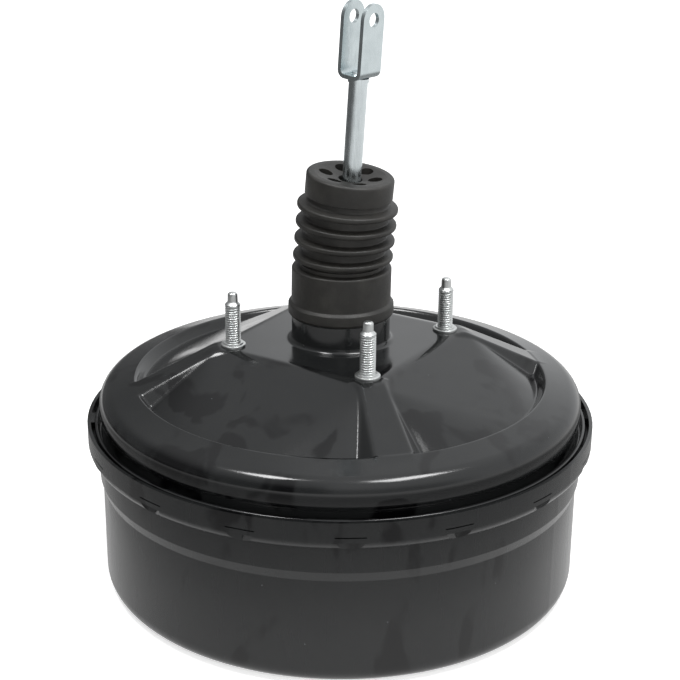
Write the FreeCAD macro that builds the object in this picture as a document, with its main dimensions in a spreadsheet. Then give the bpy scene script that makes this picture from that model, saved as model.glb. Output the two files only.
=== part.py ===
import math
import os

import FreeCAD
import Part
import Sketcher
from FreeCAD import Placement, Rotation, Vector

# Vacuum brake booster, in millimetres. It stands on the flat face of its front shell.
# +Z points to the pedal side, the origin is the centre of the face that it stands on,
# and the square of mounting studs is parallel to X and Y.

doc = FreeCAD.newDocument("brake_booster")
sizes = doc.addObject("Spreadsheet::Sheet", "sizes")

# Driving dimensions: name, value, what it is. A value that starts with = follows from others.
DIMENSIONS = [
    ("wall", 1.8, "thickness of both pressed shells"),
    ("slip", 0.3, "gap between pieces that move past each other"),
    ("running", 0.06, "radial play of the sliding guides"),
    # front shell
    ("can_radius", 125.5, "outside of the can near its floor"),
    ("can_corner", 8.5, "outside bend between floor and wall"),
    ("can_flare", 1.5, "how much wider the can is above its soft step"),
    ("step_low", 56.5, "height where the soft step starts"),
    ("step_tall", 5.0, "height of the soft step"),
    ("step_high", "= step_low + step_tall", "height where the soft step ends"),
    ("hem_low", 75.0, "underside of the rim band"),
    ("hem_round", 5.0, "rounding of the band's lower edge"),
    ("band_overhang", 6.9, "how far the rim band stands out from the can"),
    ("band_radius", "= can_radius + band_overhang", "outside of the rim band"),
    ("band_tall", 14.9, "height of the rim band"),
    ("band_top", "= hem_low + band_tall", "top edge of the rim band"),
    ("shelf_rise", 5.2, "from the band's lower edge to its shelf"),
    ("shelf_height", "= hem_low + shelf_rise", "shelf in the band that carries the diaphragm bead"),
    ("dish_mouth", 74.0, "radius of the recess in the front face, at the floor"),
    ("dish_taper", 12.0, "how much narrower the recess gets"),
    ("dish_floor", "= dish_mouth - dish_taper", "radius of the recess at its inner end"),
    ("dish_depth", 30.0, "depth of the recess"),
    ("spigot_radius", 16.7, "bore that the cylinder's spigot enters"),
    ("seal_seat", 15.2, "radius of the seal's seat beyond the spigot bore"),
    ("seal_rise", 7.0, "from the recess to the seal's seat"),
    ("seal_low", "= dish_depth + seal_rise", "height where that seat starts"),
    ("seal_tall", 9.0, "depth of the seal's seat"),
    ("spigot_top", "= seal_low + seal_tall", "inner end of the seal's seat"),
    ("rod_hole", 7.0, "hole for the output rod at the end of the spigot bore"),
    ("lance_count", 16, "crimp lances round the rim band"),
    ("lance_start", -56.2, "angle of the first lance, in degrees"),
    ("lance_width", 14.6, "length of a lance's slit"),
    ("lance_rise", 7.4, "from the band's lower edge to the slits"),
    ("lance_height", "= hem_low + lance_rise", "height of the slits"),
    ("slit_gap", 0.6, "height of a slit's opening"),
    ("lance_depth", 3.2, "depth of the pinch below a slit"),
    ("tab_width", 13.0, "width of the tab bent in above a slit"),
    ("tab_reach", 3.5, "how far the tab reaches in from the band's outside"),
    ("tab_tall", 3.1, "height of the tab"),
    # rear shell
    ("shoulder_overhang", 0.3, "how far the shoulder stands out from the can"),
    ("shoulder_radius", "= can_radius + shoulder_overhang", "widest radius of the rear shell"),
    ("shoulder_round", 8.5, "bend at the outer corner of the rear shell"),
    ("shoulder_rise", 23.5, "from the flange up to the annulus at the wall"),
    ("foot_rise", 9.8, "from the flange to where the wall widens"),
    ("waist_inset", 1.6, "how much narrower the wall is above the flange"),
    ("waist_radius", "= shoulder_radius - waist_inset", "rear shell's wall just above its flange"),
    ("flange_rise", 7.2, "from the band's lower edge to the flange"),
    ("flange_low", "= hem_low + flange_rise", "underside of the rear shell's flange"),
    ("shoulder_foot", "= flange_low + foot_rise", "height where the wall starts to widen"),
    ("shoulder_height", "= flange_low + shoulder_rise", "height where the annulus would meet the wall"),
    ("lip_overhang", 3.2, "how far the lip stands out from the can"),
    ("lip_radius", "= can_radius + lip_overhang", "outside of the rear shell's upturned lip"),
    ("lip_tall", 7.2, "height of the lip"),
    ("lip_top", "= flange_low + lip_tall", "top of that lip"),
    ("annulus_width", 18.9, "width of the annulus"),
    ("annulus_radius", "= shoulder_radius - annulus_width", "inner edge of the flat annulus"),
    ("annulus_rise", 5.1, "how much the annulus rises inwards"),
    ("annulus_height", "= shoulder_height + annulus_rise", "height of the annulus at that edge"),
    ("foot_inset", 3.9, "from the annulus in to the panels' foot"),
    ("panel_foot_radius", "= annulus_radius - foot_inset", "lower edge of the sloping panels"),
    ("foot_drop", 5.3, "from the annulus down to the panels' foot"),
    ("panel_foot_height", "= annulus_height - foot_drop", "height of that edge"),
    ("plateau_half", 47.5, "half the width of the square plateau"),
    ("plateau_corner", 8.0, "corner radius of the plateau"),
    ("plateau_rise", 19.4, "height of the plateau above the annulus"),
    ("plateau_height", "= annulus_height + plateau_rise", "height of the plateau"),
    ("spur_step", 18.5, "from the plateau's edge to a spur's start"),
    ("spur_inner", "= plateau_half + spur_step", "distance from the axis where a spur starts"),
    ("spur_half_inner", 6.0, "half width of a spur at its start"),
    ("spur_half_outer", 9.0, "half width of a spur's crest at the annulus"),
    ("spur_foot", 17.0, "half width of a spur's foot at the annulus"),
    ("collar_radius", 25.0, "outside of the collar below the boot"),
    ("collar_rise", 14.0, "height of the collar's wide part"),
    ("collar_step", "= plateau_height + collar_rise", "height where the collar narrows"),
    ("neck_inset", 2.0, "how much the collar narrows"),
    ("neck_radius", "= collar_radius - neck_inset", "outside of the collar inside the boot"),
    ("neck_tall", 13.8, "height of the collar's narrow part"),
    ("neck_top", "= collar_step + neck_tall", "top of the collar"),
    # studs
    ("stud_margin", 7.5, "from a stud's axis to the plateau's edge"),
    ("stud_spacing", "= 2 * plateau_half - 2 * stud_margin", "side of the square of mounting studs"),
    ("stud_radius", 4.0, "M8 thread"),
    ("knurl_rise", 0.3, "how far the knurl stands out"),
    ("stud_neck", "= stud_radius + knurl_rise", "radius of a stud's knurled neck in its hole"),
    ("stud_fit", 0.1, "gap round a stud's neck"),
    ("stud_hole", "= stud_neck + stud_fit", "stud holes in the shells"),
    ("stud_reach", 28.7, "stud length above the plateau"),
    ("collar_rim", 1.3, "how far the collar stands out from its ring"),
    ("stud_collar_thick", 1.2, "thickness of a stud's collar"),
    ("ring_rim", 1.2, "how far the ring stands out from the thread"),
    ("stud_ring", "= stud_radius + ring_rim", "radius of the ring on the collar"),
    ("stud_collar", "= stud_ring + collar_rim", "radius of a stud's collar"),
    ("point_inset", 1.2, "how much narrower the dog point is"),
    ("point_radius", "= stud_radius - point_inset", "dog point of a stud"),
    ("point_length", 6.2, "length of the dog point"),
    ("head_rim", 4.0, "how far the head stands out from the thread"),
    ("stud_head", "= stud_radius + head_rim", "radius of a stud's head"),
    ("stud_head_thick", 3.0, "thickness of a stud's head"),
    ("cylinder_spacing", 85.0, "distance between the master cylinder studs"),
    ("cylinder_reach", 27.0, "length of those studs below the recess floor"),
    ("rear_plate_thick", 2.0, "reinforcement plate under the plateau"),
    ("plate_inset", 1.5, "from the plateau's edge in to the plate's"),
    ("rear_plate_half", "= plateau_half - plate_inset", "half the width of that plate"),
    ("front_plate_thick", 2.5, "reinforcement plate above the recess floor"),
    ("plate_gap", 0.5, "gap round the front plate"),
    ("front_plate_radius", "= dish_floor - plate_gap", "radius of that plate"),
    # vacuum port
    ("port_offset", 45.0, "distance of the vacuum port from the axis"),
    ("port_hole", 11.0, "radius of the port's hole in the shell"),
    ("port_neck", 6.2, "radius of the check valve's neck"),
    ("valve_radius", 12.0, "radius of the check valve's chamber"),
    ("valve_bottom", 16.5, "underside of the chamber"),
    ("nipple_radius", 4.9, "hose nipple of the check valve"),
    ("nipple_end", 2.0, "height of the nipple's open end"),
    ("check_disc_radius", 8.0, "disc that closes the check valve"),
    ("check_disc_thick", 1.6, "thickness of that disc"),
    # moving parts
    ("free_travel", 2.0, "travel of the plunger in the valve body"),
    ("tube_radius", 17.5, "outside of the valve body's rear tube"),
    ("tube_rise", 28.0, "how far the tube stands out of the collar"),
    ("tube_top", "= neck_top + tube_rise", "end of the valve body's rear tube"),
    ("tube_wall", 4.0, "wall of the rear tube"),
    ("tube_bore", "= tube_radius - tube_wall", "bore of the valve body's rear tube"),
    ("bore_length", 17.0, "length of the plunger's bore"),
    ("hub_nose", 14.0, "length of the hub below its flange"),
    ("hub_radius", 23.5, "valve body inside the return spring"),
    ("flange_rim", 10.5, "how far the flange stands out from the hub"),
    ("hub_flange", "= hub_radius + flange_rim", "radius of the valve body's flange"),
    ("valve_rise", 21.0, "from the band's lower edge to the valve body's flange"),
    ("flange_bottom", "= hem_low + valve_rise", "underside of that flange"),
    ("hub_bottom", "= flange_bottom - hub_nose", "front end of the valve body"),
    ("flange_thick", 6.0, "thickness of that flange"),
    ("pocket_radius", 14.2, "pocket for the output rod's head"),
    ("pocket_rise", 3.5, "from the flange up to the pocket's end"),
    ("pocket_top", "= flange_bottom + pocket_rise", "end of that pocket"),
    ("chamber_floor", "= pocket_top + bore_length", "floor of that bore"),
    ("plunger_radius", 6.9, "sliding part of the plunger"),
    ("plunger_play", 0.1, "gap round the plunger"),
    ("plunger_bore", "= plunger_radius + plunger_play", "bore that the plunger slides in"),
    ("nose_rise", 2.1, "from the pocket up to the plunger's nose"),
    ("plunger_nose", "= pocket_top + nose_rise", "front end of the plunger"),
    ("plunger_head", 9.5, "air valve seat on the plunger"),
    ("valve_gap", 3.0, "gap below the air valve's seat"),
    ("head_low", "= chamber_floor + valve_gap", "underside of that seat"),
    ("head_thick", 1.8, "thickness of that seat"),
    ("socket_wall", 2.6, "wall of the ball socket"),
    ("socket_rise", 4.0, "from the ball's centre to the socket's top"),
    ("ball_rise", 8.5, "from the air valve's seat to the ball's centre"),
    ("ball_height", "= head_low + ball_rise", "centre of the input rod's ball"),
    ("socket_top", "= ball_height + socket_rise", "top of the ball socket"),
    ("ball_radius", 5.4, "input rod's ball"),
    ("socket_radius", "= ball_radius + socket_wall", "outside of the ball socket"),
    ("ball_play", 0.15, "gap between the ball and its socket"),
    ("plate_margin", 8.0, "from the roll in to the plate's edge"),
    ("plate_thick", 1.2, "sheet of the diaphragm plate"),
    ("plate_drop", 1.0, "how far the plate's edge lies lower"),
    ("plate_edge_height", "= flange_bottom - plate_drop", "height of the plate near its edge"),
    ("diaphragm_thick", 2.0, "rubber of the diaphragm"),
    ("roll_inset", 13.5, "from the can in to the diaphragm's roll"),
    ("roll_radius", "= can_radius - roll_inset", "outer radius of the diaphragm's moving part"),
    ("plate_radius", "= roll_radius - plate_margin", "radius of the diaphragm plate"),
    ("roll_gap", 1.5, "radial gap at the diaphragm's roll"),
    ("output_radius", 4.75, "output rod"),
    ("tip_rise", 0.6, "from the seal's seat up to the rod's tip"),
    ("output_tip", "= seal_low + tip_rise", "front end of the output rod"),
    ("reaction_thick", 5.8, "thickness of the reaction disc"),
    # small inner pieces
    ("key_rise", 9.7, "from the pocket up to the stop key"),
    ("key_low", "= pocket_top + key_rise", "underside of the stop key"),
    ("key_thick", 2.4, "thickness of the stop key"),
    ("key_half", 7.4, "half width of the stop key"),
    ("key_back", 5.0, "reach of the key's fork behind the axis"),
    ("plunger_groove", 4.5, "radius of the plunger in its key groove"),
    ("tip_shank", 2.5, "threaded shank of the output rod's tip"),
    ("seat_hole", 7.6, "hole in the poppet retainer that the input rod passes"),
    ("seat_distance", 32.0, "from the ball's centre to the spring seat"),
    ("coil_wire", 2.0, "wire radius of the return spring"),
    ("fine_wire", 0.6, "wire radius of the small springs"),
    ("filter_inner", 10.0, "inside of the filter and the silencer"),
    ("rivet_radius", 3.0, "riveted end of the input rod"),
    # input rod and fork
    ("rod_radius", 4.75, "input rod"),
    ("rod_lean", 3.7, "lean of the input rod towards +X, in degrees"),
    ("rod_length", 139.3, "from the ball's centre to the fork's base"),
    ("fork_twist", -8.5, "turn of the fork about the rod, in degrees"),
    ("fork_gap", 10.4, "clear width between the fork's arms"),
    ("fork_sheet", 2.0, "sheet of the fork"),
    ("fork_width", 15.6, "width of the fork's arms"),
    ("fork_bend", 4.2, "outside bend of the fork"),
    ("pin_reach", 29.1, "from the fork's base to the pin holes"),
    ("pin_distance", "= rod_length + pin_reach", "from the ball's centre to the pin holes"),
    ("pin_hole", 3.5, "radius of the pin holes"),
    # boot
    ("boot_fit", 0.3, "gap between the collar and the boot"),
    ("boot_inner", "= neck_radius + boot_fit", "inside of the boot's sleeve"),
    ("boot_wall", 2.4, "rubber of the boot's sleeve"),
    ("boot_seat", 0.2, "gap between the collar's step and the boot"),
    ("boot_bottom", "= collar_step + boot_seat", "lower end of the boot"),
    ("lip_rim", 1.1, "how far the lip stands out"),
    ("boot_lip", "= boot_inner + boot_wall + lip_rim", "radius of the boot's lower lip"),
    ("boot_lip_height", 6.2, "height of that lip"),
    ("sleeve_tall", 25.1, "height of the boot's sleeve"),
    ("boot_sleeve_top", "= boot_bottom + sleeve_tall", "top of the boot's sleeve"),
    ("rib_count", 4, "folds of the boot"),
    ("rib_start", 5.9, "from the sleeve to the lowest fold"),
    ("rib_first", "= boot_sleeve_top + rib_start", "height of the lowest fold"),
    ("rib_pitch", 8.7, "distance between folds"),
    ("rib_depth", 3.2, "depth of the folds"),
    ("root_radius", 22.3, "radius between the folds"),
    ("rib_radius", "= root_radius + rib_depth", "radius of the folds"),
    ("cap_radius", 22.2, "radius of the boot's top"),
    ("cap_overlap", 2.8, "how far the boot's top reaches into the last fold"),
    ("cap_low", "= rib_first + rib_count * rib_pitch - cap_overlap", "lower edge of the boot's top"),
    ("cap_tall", 9.0, "height of the boot's top"),
    ("boot_top", "= cap_low + cap_tall", "top of the boot"),
    ("boot_bend", 0.1, "sideways lean of the folds, per unit of height"),
    ("fold_wall", 1.9, "rubber of the folds"),
    ("vent_count", 6, "air holes in the boot's top"),
    ("vent_circle", 12.6, "radius of the circle of air holes"),
    ("vent_radius", 3.5, "radius of an air hole"),
]


def fill_sheet():
    """Write every dimension with its alias and its meaning into the sheet."""
    for row, (name, value, meaning) in enumerate(DIMENSIONS, start=1):
        sizes.set("A%d" % row, name)
        sizes.set("B%d" % row, str(value))
        sizes.setAlias("B%d" % row, name)
        sizes.set("C%d" % row, meaning)
    doc.recompute()


NAMES = {name for name, value, meaning in DIMENSIONS}


def bound(expression):
    """The expression with each size's name pointing into the sheet."""
    words = ["sizes." + word if word in NAMES else word for word in expression.split()]
    return " ".join(words)


def amount(expression):
    """Value of a sum of products of size names and numbers, such as 'wall * 2 + 1'."""
    total = 0.0
    for term in expression.replace(" - ", " + -1 * ").split(" + "):
        product, dividing = 1.0, False
        for word in term.split():
            if word in "*/":
                dividing = word == "/"
                continue
            number = float(getattr(sizes, word)) if word in NAMES else float(word)
            product = product / number if dividing else product * number
            dividing = False
        total += product
    return total


def less(expression):
    """The end of an expression that subtracts another one, with its signs turned."""
    turned_signs = expression.replace(" + ", " ~ ").replace(" - ", " + ").replace(" ~ ", " - ")
    return " - " + turned_signs


def bind(item, path, expression):
    """Bind a property of an object to an expression of sizes."""
    item.setExpression(path, bound(expression))


def new_body(label):
    body = doc.addObject("PartDesign::Body", label)
    body.Label = label
    return body


def origin_feature(body, role):
    return [item for item in body.Origin.OriginFeatures if item.Role == role][0]


def new_sketch(body, name, role="XZ_Plane", lift=None, turn=None):
    """A sketch on one of the body's planes, lifted and turned about its normal if asked."""
    sketch = body.newObject("Sketcher::SketchObject", body.Label + "_" + name)
    sketch.AttachmentSupport = (origin_feature(body, role), [""])
    sketch.MapMode = "FlatFace"
    if lift is not None:
        bind(sketch, "AttachmentOffset.Base.z", lift)
    if turn is not None:
        sketch.AttachmentOffset = Placement(Vector(0, 0, 0), Rotation(Vector(0, 0, 1), 1))
        bind(sketch, "AttachmentOffset.Rotation.Angle", turn)
    return sketch


def pin_vertex(sketch, line, point, across, up):
    """Hold one end of a sketch line at two distances from the sketch's origin."""
    for kind, expression in (("DistanceX", across), ("DistanceY", up)):
        if expression == "0":
            axis = -2 if kind == "DistanceX" else -1
            sketch.addConstraint(Sketcher.Constraint("PointOnObject", line, point, axis))
            continue
        value = amount(expression)
        index = sketch.addConstraint(Sketcher.Constraint(kind, -1, 1, line, point, value))
        sketch.setExpression("Constraints[%d]" % index, bound(expression))


def draw_outline(sketch, corners):
    """A closed outline of straight lines, each corner bound to two expressions."""
    spots = [Vector(amount(across), amount(up), 0) for across, up in corners]
    count = len(spots)
    first = sketch.GeometryCount
    for i in range(count):
        sketch.addGeometry(Part.LineSegment(spots[i], spots[(i + 1) % count]))
    for i in range(count):
        after = first + (i + 1) % count
        sketch.addConstraint(Sketcher.Constraint("Coincident", first + i, 2, after, 1))
    for i, (across, up) in enumerate(corners):
        pin_vertex(sketch, first + i, 1, across, up)


def draw_circle(sketch, across, up, radius):
    """A circle with its centre and radius bound to expressions."""
    centre = Vector(amount(across), amount(up), 0)
    circle = sketch.addGeometry(Part.Circle(centre, Vector(0, 0, 1), amount(radius)))
    if across == "0" and up == "0":
        sketch.addConstraint(Sketcher.Constraint("Coincident", circle, 3, -1, 1))
    else:
        pin_vertex(sketch, circle, 3, across, up)
    index = sketch.addConstraint(Sketcher.Constraint("Radius", circle, amount(radius)))
    sketch.setExpression("Constraints[%d]" % index, bound(radius))


def finish(body, feature):
    """Make a feature the body's last one, and stop if it failed."""
    body.Tip = feature
    doc.recompute()
    if "Invalid" in feature.State or "Error" in feature.State or feature.Shape.isNull():
        raise ValueError(feature.Label + " failed")
    return feature


def turn_outline(body, name, corners, kind="PartDesign::Revolution"):
    """Add or cut the solid that an outline of (radius, height) makes about Z."""
    sketch = new_sketch(body, name + "_outline")
    draw_outline(sketch, corners)
    doc.recompute()
    feature = body.newObject(kind, body.Label + "_" + name)
    feature.Profile = sketch
    feature.ReferenceAxis = (sketch, ["V_Axis"])
    feature.Angle = 360
    return finish(body, feature)


def turned(label, corners):
    """A body that is one turned outline."""
    body = new_body(label)
    turn_outline(body, "turned", corners)
    return body


def ring(label, inner, outer, low, high):
    """A plain ring between two radii and two heights."""
    return turned(label, [(inner, low), (outer, low), (outer, high), (inner, high)])


def extruded(body, name, sketch, length, kind="PartDesign::Pad", back=False):
    """Pad or pocket a sketch by a bound length; back reverses the direction."""
    feature = body.newObject(kind, body.Label + "_" + name)
    feature.Profile = sketch
    feature.Reversed = back
    bind(feature, "Length", length)
    return finish(body, feature)


def repeated(body, name, feature, count):
    """Copies of a feature, evenly round Z."""
    pattern = body.newObject("PartDesign::PolarPattern", body.Label + "_" + name)
    pattern.Originals = [feature]
    pattern.Axis = (origin_feature(body, "Z_Axis"), [""])
    pattern.Angle = 360
    bind(pattern, "Occurrences", count)
    return finish(body, pattern)


def must_cut(body, before, name):
    """Stop if a cut took nothing away."""
    doc.recompute()
    if not body.Shape.Volume < before - 1e-3:
        raise ValueError(name + " cuts nothing from " + body.Label)


def bore_holes(body, name, places, radius, low, high):
    """Round holes along Z between two heights, at a list of (x, y) places."""
    before = body.Shape.Volume
    sketch = new_sketch(body, name + "_sketch", "XY_Plane", lift=low)
    for across, up in places:
        draw_circle(sketch, across, up, radius)
    doc.recompute()
    extruded(body, name, sketch, high + less(low), "PartDesign::Pocket", back=True)
    must_cut(body, before, name)


def ring_edges(feature, places):
    """Names of the round edges about Z at the given (radius, height) places."""
    found = []
    for number, edge in enumerate(feature.Shape.Edges, start=1):
        if not isinstance(edge.Curve, Part.Circle):
            continue
        for radius, height in places:
            near_radius = abs(edge.Curve.Radius - amount(radius)) < 0.01
            near_height = abs(edge.Curve.Center.z - amount(height)) < 0.01
            on_axis = math.hypot(edge.Curve.Center.x, edge.Curve.Center.y) < 0.01
            if near_radius and near_height and on_axis:
                found.append("Edge%d" % number)
    return found


def round_rings(body, name, places, radius):
    """Round the circular edges about Z at the given (radius, height) places."""
    base = body.Tip
    edges = ring_edges(base, places)
    if not edges:
        raise ValueError("no edge for " + name + " on " + body.Label)
    fillet = body.newObject("PartDesign::Fillet", body.Label + "_" + name)
    fillet.Base = (base, edges)
    bind(fillet, "Radius", radius)
    return finish(body, fillet)


def stud_places(spacing):
    half = spacing + " / 2"
    minus = "-1 * " + spacing + " / 2"
    return [(half, minus), (minus, minus), (half, half), (minus, half)]


def cylinder_places():
    return [("cylinder_spacing / 2", "0"), ("-1 * cylinder_spacing / 2", "0")]


# Front shell


def make_front_shell():
    """Deep-drawn can with a recess in its face, a rim band and crimp lances."""
    body = new_body("front_shell")
    flare = "can_radius + can_flare"
    turn_outline(body, "drawn", [
        ("rod_hole", "spigot_top"), ("seal_seat", "spigot_top"),
        ("seal_seat", "seal_low"), ("spigot_radius", "seal_low"),
        ("spigot_radius", "dish_depth"), ("dish_floor", "dish_depth"),
        ("dish_mouth", "0"), ("can_radius", "0"),
        ("can_radius", "step_low"), (flare, "step_high"),
        (flare, "hem_low"), ("band_radius", "hem_low"),
        ("band_radius", "band_top"), ("band_radius - wall", "band_top"),
        ("band_radius - wall", "shelf_height"), (flare + " - wall", "shelf_height"),
        (flare + " - wall", "step_high"), ("can_radius - wall", "step_low"),
        ("can_radius - wall", "wall"), ("dish_mouth + wall", "wall"),
        ("dish_floor + wall", "dish_depth + wall"),
        ("spigot_radius + wall", "dish_depth + wall"),
        ("spigot_radius + wall", "spigot_top + wall"), ("rod_hole", "spigot_top + wall"),
    ])
    round_rings(body, "outer_bend", [("can_radius", "0")], "can_corner")
    round_rings(body, "inner_bend", [("can_radius - wall", "wall")], "can_corner - wall")
    round_rings(body, "hem_bend", [("band_radius", "hem_low")], "hem_round")
    dish_bends = [("dish_mouth", "0"), ("dish_floor", "dish_depth")]
    round_rings(body, "dish_bend", dish_bends, "wall * 2")
    round_rings(body, "spigot_mouth", [("spigot_radius", "dish_depth")], "wall")
    cut_lances(body)
    bore_holes(body, "stud_holes", cylinder_places(), "stud_hole",
               "dish_depth - wall", "dish_depth + wall * 2")
    bore_holes(body, "port", [("0", "port_offset")], "port_hole",
               "dish_depth - wall", "dish_depth + wall * 2")
    return body


def cut_lances(body):
    """Slits through the rim band, tabs bent in above them, V-shaped pinches below."""
    before = body.Shape.Volume
    half = "lance_width / 2"
    slit = new_sketch(body, "slit_sketch", "XY_Plane", "lance_height - slit_gap / 2",
                      "lance_start")
    draw_outline(slit, [
        ("band_radius - wall * 2", "-1 * " + half), ("band_radius + wall", "-1 * " + half),
        ("band_radius + wall", half), ("band_radius - wall * 2", half)])
    doc.recompute()
    cut = extruded(body, "slit", slit, "slit_gap", "PartDesign::Pocket", back=True)
    must_cut(body, before, "slit")
    repeated(body, "slits", cut, "lance_count")

    before = body.Shape.Volume
    wide = half + " + wall * 1.8"
    pinch = new_sketch(body, "pinch_sketch", "XY_Plane", "hem_low - wall", "lance_start")
    draw_outline(pinch, [
        ("band_radius + wall", "-1 * lance_width / 2 - wall * 1.8"),
        ("band_radius + wall", wide), ("band_radius - lance_depth", "0")])
    doc.recompute()
    cut = extruded(body, "pinch", pinch, "shelf_height - hem_low + wall - 0.4",
                   "PartDesign::Pocket", back=True)
    must_cut(body, before, "pinch")
    repeated(body, "pinches", cut, "lance_count")

    tab = new_sketch(body, "tab_sketch", "XY_Plane", "lance_height + slit_gap / 2",
                     "lance_start")
    draw_outline(tab, [
        ("band_radius - tab_reach", "-1 * tab_width / 2"),
        ("band_radius - wall * 0.8", "-1 * tab_width / 2"),
        ("band_radius - wall * 0.8", "tab_width / 2"),
        ("band_radius - tab_reach", "tab_width / 2")])
    doc.recompute()
    bump = extruded(body, "tab", tab, "tab_tall")
    repeated(body, "tabs", bump, "lance_count")


# Rear shell

DIAGONAL = "0.70710678"


def rounded_square(body, name, half, corner, height):
    """A sketch of a square with round corners at a height."""
    sketch = new_sketch(body, name, "XY_Plane", lift=height)
    side, bend = amount(half), amount(corner)
    for quarter in range(4):
        turn = Rotation(Vector(0, 0, 1), 90 * quarter)
        start = turn.multVec(Vector(side, -side + bend, 0))
        end = turn.multVec(Vector(side, side - bend, 0))
        centre = turn.multVec(Vector(side - bend, side - bend, 0))
        sketch.addGeometry(Part.LineSegment(start, end))
        full = Part.Circle(centre, Vector(0, 0, 1), bend)
        begin = math.radians(90 * quarter)
        sketch.addGeometry(Part.ArcOfCircle(full, begin, begin + math.pi / 2))
    for i in range(8):
        sketch.addConstraint(Sketcher.Constraint("Tangent", i, 2, (i + 1) % 8, 1))
    for line in (0, 4):
        sketch.addConstraint(Sketcher.Constraint("Vertical", line))
    for line in (2, 6):
        sketch.addConstraint(Sketcher.Constraint("Horizontal", line))
    for arc in (3, 5, 7):
        sketch.addConstraint(Sketcher.Constraint("Equal", 1, arc))
    for line, kind in ((0, "DistanceX"), (2, "DistanceY")):
        index = sketch.addConstraint(Sketcher.Constraint(kind, -1, 1, line, 1, side))
        sketch.setExpression("Constraints[%d]" % index, bound(half))
    for line, kind in ((4, "DistanceX"), (6, "DistanceY")):
        index = sketch.addConstraint(Sketcher.Constraint(kind, line, 1, -1, 1, side))
        sketch.setExpression("Constraints[%d]" % index, bound(half))
    index = sketch.addConstraint(Sketcher.Constraint("Radius", 1, bend))
    sketch.setExpression("Constraints[%d]" % index, bound(corner))
    return sketch


def quartered_circle(body, name, radius, height):
    """A circle drawn as eight arcs, so that it lofts evenly from a rounded square."""
    sketch = new_sketch(body, name, "XY_Plane", lift=height)
    size = amount(radius)
    corner = math.atan2(amount("plateau_half - plateau_corner"), amount("plateau_half"))
    bounds = []
    for quarter in range(4):
        bounds += [quarter * math.pi / 2 - corner, quarter * math.pi / 2 + corner]
    for i in range(8):
        begin = bounds[i]
        end = bounds[(i + 1) % 8]
        if end < begin:
            end += 2 * math.pi
        full = Part.Circle(Vector(0, 0, 0), Vector(0, 0, 1), size)
        sketch.addGeometry(Part.ArcOfCircle(full, begin, end))
    for i in range(8):
        sketch.addConstraint(Sketcher.Constraint("Coincident", i, 2, (i + 1) % 8, 1))
    for i in range(7):
        sketch.addConstraint(Sketcher.Constraint("Coincident", i, 3, -1, 1))
    sketch.addConstraint(Sketcher.Constraint("Equal", 0, 7))
    index = sketch.addConstraint(Sketcher.Constraint("Radius", 0, size))
    sketch.setExpression("Constraints[%d]" % index, bound(radius))
    return sketch


def loft(body, name, sections, kind):
    feature = body.newObject(kind, body.Label + "_" + name)
    feature.Profile = sections[0]
    feature.Sections = [sections[1]]
    feature.Ruled = True
    return finish(body, feature)


def spur_section(body, name, distance, crest, foot, top, bottom):
    """A trapezoid across the diagonal between X and Y, at a distance from the axis."""
    sketch = body.newObject("Sketcher::SketchObject", body.Label + "_" + name)
    sketch.AttachmentSupport = (origin_feature(body, "YZ_Plane"), [""])
    sketch.MapMode = "FlatFace"
    sketch.AttachmentOffset = Placement(Vector(0, 0, 0), Rotation(Vector(0, 1, 0), 45))
    bind(sketch, "AttachmentOffset.Base.x", distance + " * " + DIAGONAL)
    bind(sketch, "AttachmentOffset.Base.z", distance + " * " + DIAGONAL)
    minus_foot = "-1 * " + foot.replace(" - ", " + ")
    minus_crest = "-1 * " + crest.replace(" - ", " + ")
    draw_outline(sketch, [(minus_foot, bottom), (foot, bottom), (crest, top),
                          (minus_crest, top)])
    doc.recompute()
    return sketch


def add_spurs(body):
    """Four ridges from the plateau's corners out to the annulus."""
    outer = spur_section(body, "spur_outer", "annulus_radius", "spur_half_outer", "spur_foot",
                         "annulus_height - 0.1", "panel_foot_height - wall")
    inner = spur_section(body, "spur_inner", "spur_inner", "spur_half_inner",
                         "spur_half_inner", "plateau_height - 0.05", "plateau_height - wall * 4")
    spur = loft(body, "spur", [inner, outer], "PartDesign::AdditiveLoft")
    repeated(body, "spurs", spur, "4")


def hollow_spurs(body):
    """The undersides of the four ridges, so that their sheet is as thin as the rest."""
    before = body.Shape.Volume
    outer = spur_section(body, "spur_outer_under", "annulus_radius", "spur_half_outer - wall * 0.8",
                         "spur_foot - wall * 0.8", "annulus_height - wall * 1.2",
                         "panel_foot_height - wall * 2.2")
    inner = spur_section(body, "spur_inner_under", "spur_inner", "spur_half_inner - wall * 0.8",
                         "spur_half_inner - wall * 0.8", "plateau_height - wall * 1.25",
                         "plateau_height - wall * 5")
    spur = loft(body, "spur_hollow", [inner, outer], "PartDesign::SubtractiveLoft")
    repeated(body, "spur_hollows", spur, "4")
    must_cut(body, before, "spur_hollow")


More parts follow.
